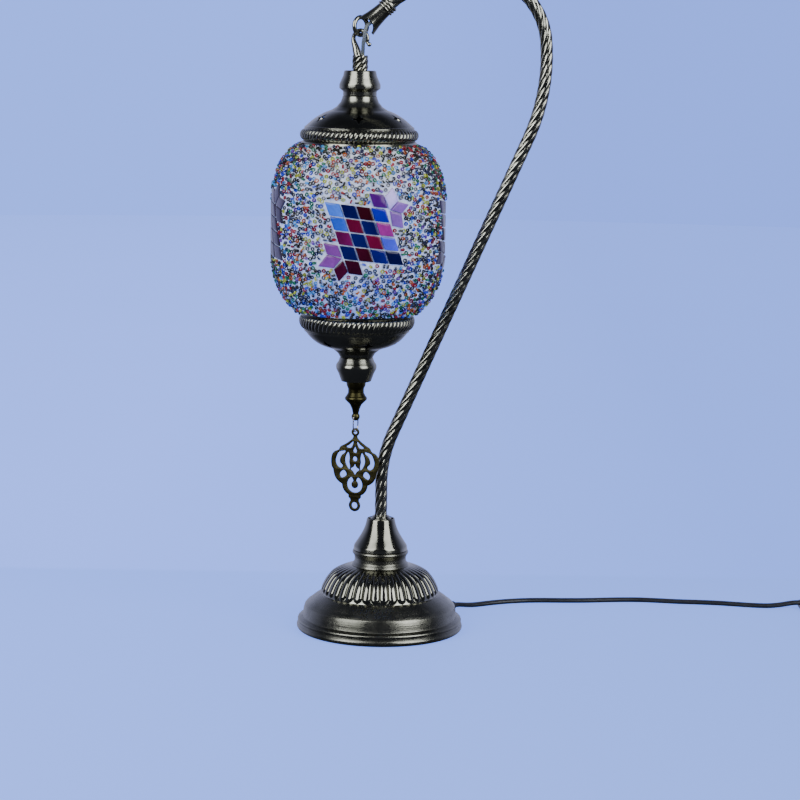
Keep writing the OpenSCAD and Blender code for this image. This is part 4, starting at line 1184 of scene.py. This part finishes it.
def addCharm():
    right = [tuple(q) for q in arc(0, 152, 3.2, 90, -60, 14)]
    for lobe in charm["lobes"]:
        right += rounded(lobe, False)
    right += [tuple(q) for q in arc(0, 95.5, 4.7, 44, -90, 14)]
    outline = right + [(-u, z) for u, z in right[-2:0:-1]]
    holes = [rounded(h) for h in charm["middleOpenings"]]
    for opening in charm["sideOpenings"]:
        ring = rounded(opening)
        holes += [ring, [(-u, z) for u, z in ring]]
    holes += [[tuple(q) for q in arc(0, z, r, 0, 360, 24)][:-1] for z, r in charm["roundHoles"]]
    curve = bpy.data.curves.new("charmOutline", "CURVE")
    curve.dimensions, curve.fill_mode = "2D", "BOTH"
    for ring in [outline] + holes:
        line = curve.splines.new("POLY")
        line.points.add(len(ring) - 1)
        for point, (u, z) in zip(line.points, ring):
            point.co = (u * mm, z * mm, 0, 1)
        line.use_cyclic_u = True
    curve.extrude = (charm["thick"] / 2 - charm["edge"]) * mm
    curve.bevel_depth, curve.bevel_resolution, curve.offset = charm["edge"] * mm, 2, -charm["edge"] * mm
    shape = linked("charmCurve", curve)
    graph = bpy.context.evaluated_depsgraph_get()
    mesh = bpy.data.meshes.new_from_object(shape.evaluated_get(graph))
    bpy.data.objects.remove(shape)
    yaw = Matrix.Rotation(math.radians(charm["yaw"]), 4, "Z")
    upright = Matrix.Rotation(math.radians(90), 4, "X")
    mesh.transform(Matrix.Translation((lanternX * mm, 0, 0)) @ yaw @ upright)
    welded(mesh, 1e-6)
    smoothed(mesh, 30)
    plate = linked("charmPlate", mesh)
    give(plate, "charm", "olive", "olive_brass", "charm_plate")

    half, low, high, corner = charm["linkHalf"], charm["linkLow"], charm["linkTop"], 0.9
    loop = [(half * math.cos(a), low + half * math.sin(a)) for a in np.radians(np.linspace(180, 360, 25))]
    loop += [(half - corner + corner * math.cos(a), high - corner + corner * math.sin(a))
             for a in np.radians(np.linspace(0, 90, 7))]
    loop += [(corner - half - corner * math.sin(a), high - corner + corner * math.cos(a))
             for a in np.radians(np.linspace(0, 90, 7))]
    place = atLantern(0, charm["yaw"] + 90)
    wire = circle(charm["linkWire"], 12)
    link = makePiece("charmLink", [
        swept([(x, 0, z) for x, z in loop], wire, (0, 1, 0), ring=True, place=place)])
    give(link, "charm_link", "wire", "olive_brass", "charm_link")


def addBush():
    outline = [(0, 60.1), (3.5, 60.1), (3.5, 64.1), (4.2, 64.3), (4.2, 66.2)]
    for k in range(6):  # flexible ribs along the sleeve
        x = 66.6 + k * 2.4
        r = 4.15 - 0.13 * k
        outline += [(r - 0.55, x), (r - 0.55, x + 0.7), (r, x + 1.0), (r - 0.05, x + 2.1)]
    outline += [(3.3, 82.4), (2.9, 83), (0, 83)]
    bush = makePiece("cordBush", [spun(outline, 40, place=towardCord(), open=True)])
    give(bush, "stand", "rubber", "black_rubber", "cord_bush")


restFinishes = {
    "felt": ["base_pad"], "iron": ["ballast_disc"], "flex": ["base_lead"], "globe": ["globe_glass"],
    "lead": ["arm_lead", "lantern_lead"], "plaster": ["plaster_top", "plaster_bottom"],
    "plastic": ["lamp_holder_cap", "lamp_holder_sleeve"], "porcelain": ["lamp_holder_core"],
    "nickel": ["bulb_cap"], "bulb": ["bulb_glass"], "filament": ["bulb_stem"],
}


def finishRest():  # the nodes that no piece stands for keep their shape and get a finish
    named = {node: finish for finish, nodes in restFinishes.items() for node in nodes}
    for node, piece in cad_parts.items():
        material = finishes[named.get(node, "zinc")]
        for spot in range(max(1, len(piece.data.materials))):
            if spot < len(piece.data.materials):
                piece.data.materials[spot] = material
            else:
                piece.data.materials.append(material)


# Studio: one wide floor, a curved wall behind, soft boxes and a pale blue room

studio = {
    "seam": 0.19, "floorRadius": 14, "glow": 0.85,
    "wallReach": 4.2, "wallHeight": 3.2, "wallSteps": 61, "wallEnds": (-12, 192),
    "boxes": (-47, 47), "boxAway": 2.0, "boxWidth": 1.38, "boxHeight": 2.0, "boxLow": 0.25, "power": 44,
    "boxColour": (0.93, 0.96, 1), "aim": (0, 0, 0.3),
}


def backdropPaint():  # painted light: the paper glows in place of being lit, paler beyond the seam and paler to the left
    paint = Paint("studioFloor")
    place = paint.node("ShaderNodeTexCoord", output="Object")
    split = paint.node("ShaderNodeSeparateXYZ", None, {"Vector": place})
    across, along = split, Signal(paint, split.socket.node.outputs["Y"])
    behind = paint.spread(along, studio["seam"] - 0.006, studio["seam"] + 0.006)
    side = paint.spread(across + along * -0.02, -0.28, 0.34)
    far = paint.spread(along, 0.3, 7)
    near = paint.mix(side, rgb(0.35, 0.61, 1.95), rgb(0.29, 0.51, 1.6))
    wall = paint.mix(side, rgb(0.48, 0.80, 2.5), rgb(0.37, 0.64, 2.05))
    # painted shade: the glow dims far back, as light falling off would dim it
    wall = paint.mix(far * 0.8, wall, rgb(0.34, 0.58, 1.8))
    tone = paint.mix(behind, near, wall)
    cloud = paint.noise(2.5, 3)
    tone = paint.mix(cloud * 0.06, tone, rgb(0.2, 0.35, 1.1))
    paper = paint.mix(cloud, rgb(0.12, 0.17, 0.32), rgb(0.14, 0.2, 0.36))
    # beyond the seam the base colour goes nearly black, so the paper's brightness there is all painted glow
    return paint.finish({
        "Base Color": paint.mix(behind * 0.9, paper, rgb(0, 0, 0)), "Roughness": 0.6,
        "Specular IOR Level": 0.1, "Emission Color": tone, "Emission Strength": studio["glow"],
    })


def addBackdrop():
    bpy.ops.mesh.primitive_circle_add(vertices=128, radius=studio["floorRadius"], fill_type="NGON")
    floor = bpy.context.object
    floor.name = "floor"
    reach, steps = studio["wallReach"], studio["wallSteps"]
    angles = np.radians(np.linspace(*studio["wallEnds"], steps))
    points = [
        (reach * math.cos(a), reach * math.sin(a), z) for z in (-0.01, studio["wallHeight"]) for a in angles]
    mesh = bpy.data.meshes.new("backWall")
    mesh.from_pydata(points, [], [(k, k + 1, steps + k + 1, steps + k) for k in range(steps - 1)])
    material = backdropPaint()
    for backdrop in (floor, linked("backWall", mesh)):
        backdrop.data.materials.append(material)
        backdrop.visible_glossy = False  # the metals mirror the dim room, not the blue paper


def addBoxes():
    for azimuth in studio["boxes"]:
        light = bpy.data.lights.new("softBox", "AREA")
        light.shape, light.size, light.size_y = "RECTANGLE", studio["boxWidth"], studio["boxHeight"]
        light.energy, light.color = studio["power"], studio["boxColour"]
        box = linked("softBox", light)
        a = math.radians(azimuth)
        middle = studio["boxLow"] + studio["boxHeight"] / 2
        box.location = (studio["boxAway"] * math.sin(a), -studio["boxAway"] * math.cos(a), middle)
        aim = Vector(studio["aim"]) - box.location
        box.rotation_euler = aim.to_track_quat("-Z", "Y").to_euler()


def addRoom():  # dim all round, and pale blue behind the lamp
    world = bpy.data.worlds.new("room")
    bpy.context.scene.world = world
    room = Paint("room", world)
    facing = room.node("ShaderNodeTexCoord", output="Generated")
    parts = room.node("ShaderNodeSeparateXYZ", None, {"Vector": facing})
    outputs = parts.socket.node.outputs
    height = Signal(room, outputs["Z"])
    back = room.spread(Signal(room, outputs["Y"]), 0.0, 0.6) * (1 - room.spread(height, 0.25, 0.75))
    back = back * room.spread(height, -0.6, -0.15)
    shade = room.mix(back, rgb(0.045, 0.05, 0.07), rgb(0.62, 0.66, 1.05))
    glow = room.node("ShaderNodeBackground", None, {"Color": shade, "Strength": 0.9})
    room.node("ShaderNodeOutputWorld", None, {"Surface": glow})


addFoot()
addArm()
addHook()
print("stand and hook made")
addLanternMetal()
addGrout()
addTiles()
addBeads()
print("lantern made")
addCharm()
addBush()
finishRest()
addBackdrop()
addBoxes()
addRoom()
print("studio made")
